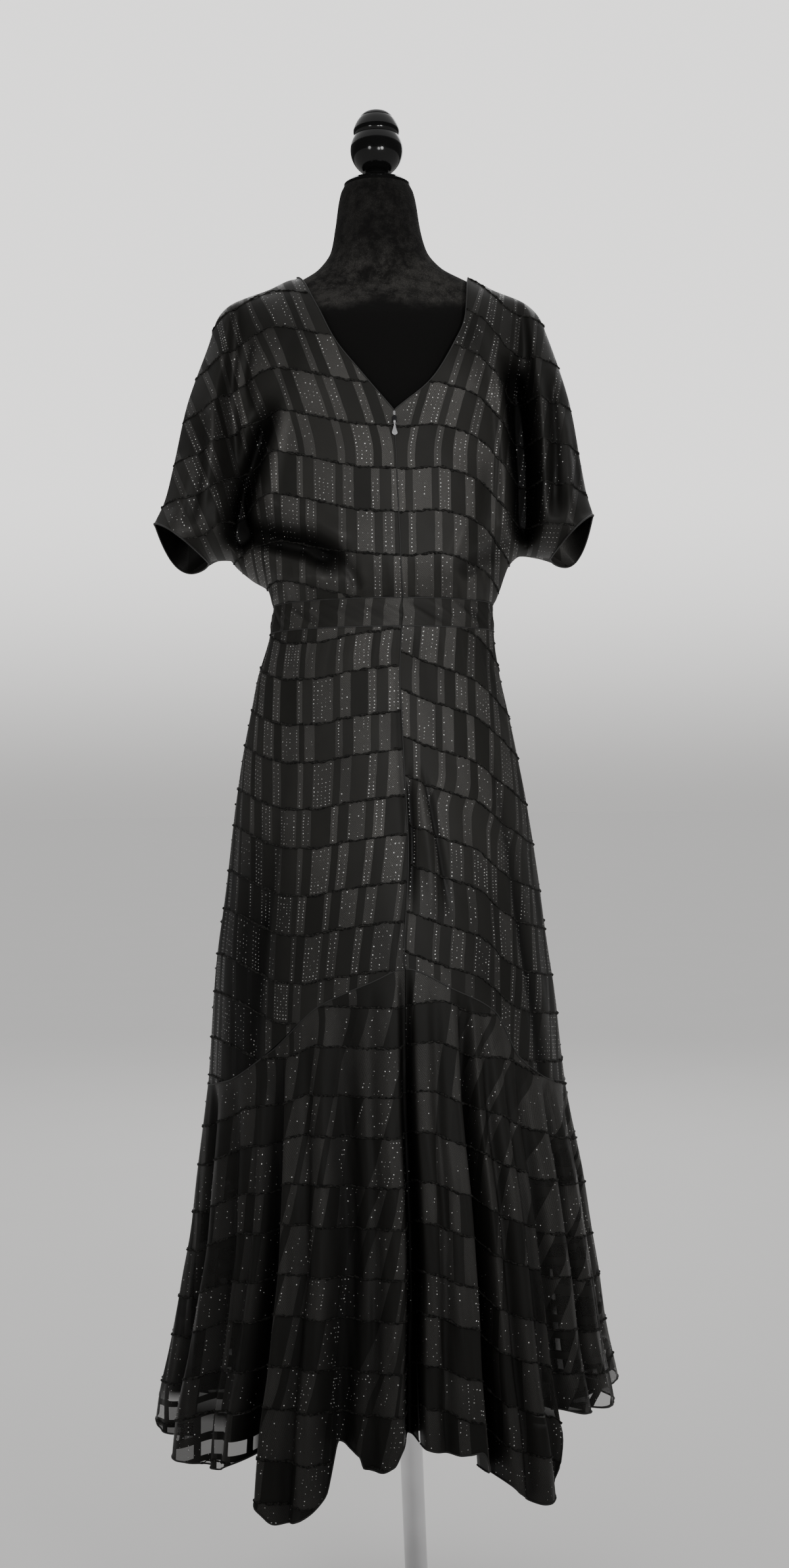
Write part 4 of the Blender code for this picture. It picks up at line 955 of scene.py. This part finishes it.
def bodice_plane(side, x, z):
    """u round the bodice and v up it: bars lean beside the neckline, cords follow their own lines."""
    at = np.arange(-.32, .3201, .002)
    steep = np.clip(np.gradient(round_depth(at, 1.4 + 0 * at), at), -1.6, 1.6)
    length = np.concatenate([[0], np.cumsum(np.sqrt(1 + steep[1:] ** 2) * .002)])
    length -= np.interp(0.0, at, length)
    rise = z - 1.4
    up = np.maximum(rise, 0.0)
    sleeve = ramp(np.abs(x), .11, .165)
    by_neck, by_sleeve, moved = LEANS[side]
    u = np.interp(x, at, length) + by_neck * up * up / (up + .05) * (1 - sleeve) + by_sleeve * rise * sleeve
    v = z - 1.432 - curve(BODICE_LINES[side], 1, x)
    return np.stack([u + moved, v + .002 * np.sin(math.pi * v / BAND)], axis=-1)


def make_bodice():
    left, right = (half_grid(neck + [row for row in top if row[0] >= NECK_POINT], bottom, 1)
                   for neck, top, bottom in ((FRONT_NECK_LEFT, TOP_LEFT, BOTTOM_LEFT),
                                             (FRONT_NECK_RIGHT, TOP_RIGHT, BOTTOM_RIGHT)))
    halves = {
        "back_left": half_grid(TOP_LEFT, BOTTOM_LEFT, -1, -SEAM_GAP / 2),
        "back_right": half_grid(TOP_RIGHT, BOTTOM_RIGHT, -1, SEAM_GAP / 2),
        "front": [np.concatenate([a[:, ::-1], b[:, 1:]], axis=1) for a, b in zip(left, right)],
    }
    return [Panel("bodice", side, grid, bodice_plane(side, x, z), bodice_shade(x, z, 1 if side == "front" else -1),
                  flip=side != "back_right") for side, (grid, x, z) in halves.items()]


def make_edges(panel):
    """The rolled neck edge, cuffs and hem, and the welts beside the seams."""
    kind, side, grid = panel.kind, panel.side, panel.grid
    raised = grid + panel.normal * .0002
    lines = []                # end of the name, points, radius
    if kind == "bodice":
        cuffs = [0, -1] if side == "front" else [-1]
        lines += [(f"cuff_{k}", grid[:, column], .0011) for k, column in enumerate(cuffs)]
        lines += [(f"neck_{start}", grid[0, start:end], .0008)
                  for start, end in runs(np.abs(grid[0, :, 1]) > SEAM_GAP) if end - start > 6]
    if kind in ("bodice", "skirt") and side == "back_left":
        lines.append(("middle", grid[:, 0 if kind == "bodice" else -1] + (.0002, -.0004, 0), .0007))
    if kind == "flounce":
        lines += [("hem", grid[-1], .001), ("seam", raised[0], .0008)]
    if kind == "waistband":
        lines += [("upper", raised[0], .0008), ("lower", raised[-1], .0008)]
    return [edge_tube(panel.name + "_" + end, points, radius) for end, points, radius in lines]


# ---- Form and stand
CAP = [(1.7373, .0392), (1.7405, .0392), (1.744, .035), (1.747, .027), (1.7485, .018)]
BALL_MIDDLE, BALL_RADIUS = 1.7815, .0312
FINIAL_FOOT = [(1.7488, .015), (1.753, .0145), (1.7555, .0165)]
FINIAL_TIP = [
    (1.7995, .0262), (1.8015, .0272), (1.8045, .0274), (1.8075, .0268), (1.8105, .0257), (1.8135, .0243),
    (1.8165, .0226), (1.819, .0207), (1.8203, .0194), (1.8207, .0184), (1.8212, .019), (1.823, .0177),
    (1.825, .0153), (1.8268, .0118), (1.8281, .0075), (1.8288, .0035), (1.829, .001),
]
CAD_LOOKS = {"torso_collar": "tube", "pole": "tube", "base_socket": "tube", "base_plate": "enamel",
             "zip_hook": "wire", "zip_slider": "zip", "zip_pull": "pull"}


def stacked_piece(name, node, look, rings, segments, sharp):
    """A closed piece of ovals, with height, half width, half depth and middle of each."""
    angles = np.linspace(0, 2 * np.pi, segments + 1)[:-1]
    points = [np.stack([BODY_X + m + w * np.cos(angles), d * np.sin(angles), h + 0 * angles], axis=1)
              for h, w, d, m in rings]
    made = object_of(name, np.concatenate(points), closed_faces(len(points), segments), MATERIALS[look])
    made.data.set_sharp_from_angle(angle=math.radians(sharp))
    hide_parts(node)


def make_form():
    heights = np.concatenate([np.linspace(.868, 1.55, 60)[:-1], np.linspace(1.55, 1.737, 60)])
    stacked_piece("torso_velvet", "form_torso", "velvet", zip(heights, *oval(TORSO, heights)), 96, 50)
    ball = [(BALL_MIDDLE + BALL_RADIUS * math.sin(a), BALL_RADIUS * math.cos(a))
            for a in np.radians(np.linspace(-58, 34, 25))]
    for name, outline in (("neck_cap", CAP), ("finial", FINIAL_FOOT + ball + FINIAL_TIP)):
        rings = [(h, r, r, -.001) for h, r in outline]
        stacked_piece(name + "_gloss", name, "gloss", rings, 72, 40)
    for name, look in CAD_LOOKS.items():
        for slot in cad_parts[name].material_slots:
            slot.material = MATERIALS[look]


# ---- All together
make_camera()
make_stage()
MATERIALS = {
    "edge": plain_material("rolled_edge", (.012, .0118, .011), .7),
    "bodice": burnout_material("burnout_bodice"),
    "waistband": burnout_material("burnout_band", dim=.95),
    "skirt": burnout_material("burnout_skirt"),
    "flounce": burnout_material("burnout_flounce", sheer=True, dim=.91, wild=True),
    "lining": lining_material(),
    "velvet": velvet_material(),
    "cord": cord_material(),
    "dots": dot_material(),
    "gloss": gloss_material("black_gloss", (.005, .005, .005), .11),
    "zip": gloss_material("zip_gloss", (.035, .035, .037), .22, metallic=.9, coat=1.0),
    "pull": gloss_material("zip_pull_gloss", (.6, .6, .61), .24, metallic=1.0, coat=.5),
    "wire": gloss_material("hook_silver", (.8, .8, .81), .2, metallic=1.0),
    "tube": gloss_material("tube_chrome", (.62, .62, .63), .18, metallic=1.0),
    "enamel": gloss_material("base_enamel_black", (.016, .016, .016), .35, metallic=.1),
}
DOT_DENSITIES = {"waistband": .4, "skirt": .8, "flounce": .2, "bodice": .8}
make_form()
for seed, panel in enumerate(make_lower() + make_bodice()):
    on_it = [make_cords(panel)] if panel.kind in ("skirt", "flounce", "bodice") else []
    if panel.kind in DOT_DENSITIES:
        on_it.append(make_dots(panel, seed, DOT_DENSITIES[panel.kind]))
    on_it += make_edges(panel)
    width, length = (float(lengths(panel.grid, axis).max()) for axis in (1, 0))
    area = area_of(panel.grid)
    if panel.kind == "bodice":
        # a fan of rows: the cut is its extent on the cloth's plane, grown to the area it has in the round
        plane = area_of(np.dstack([panel.uv, 0 * panel.uv[:, :, 0]]))
        width, length = (float(side) for side in np.ptp(panel.uv, axis=(0, 1)) * math.sqrt(area / plane))
    print("SHEET", panel.name, round(width, 3), round(length, 3), round(area, 4))
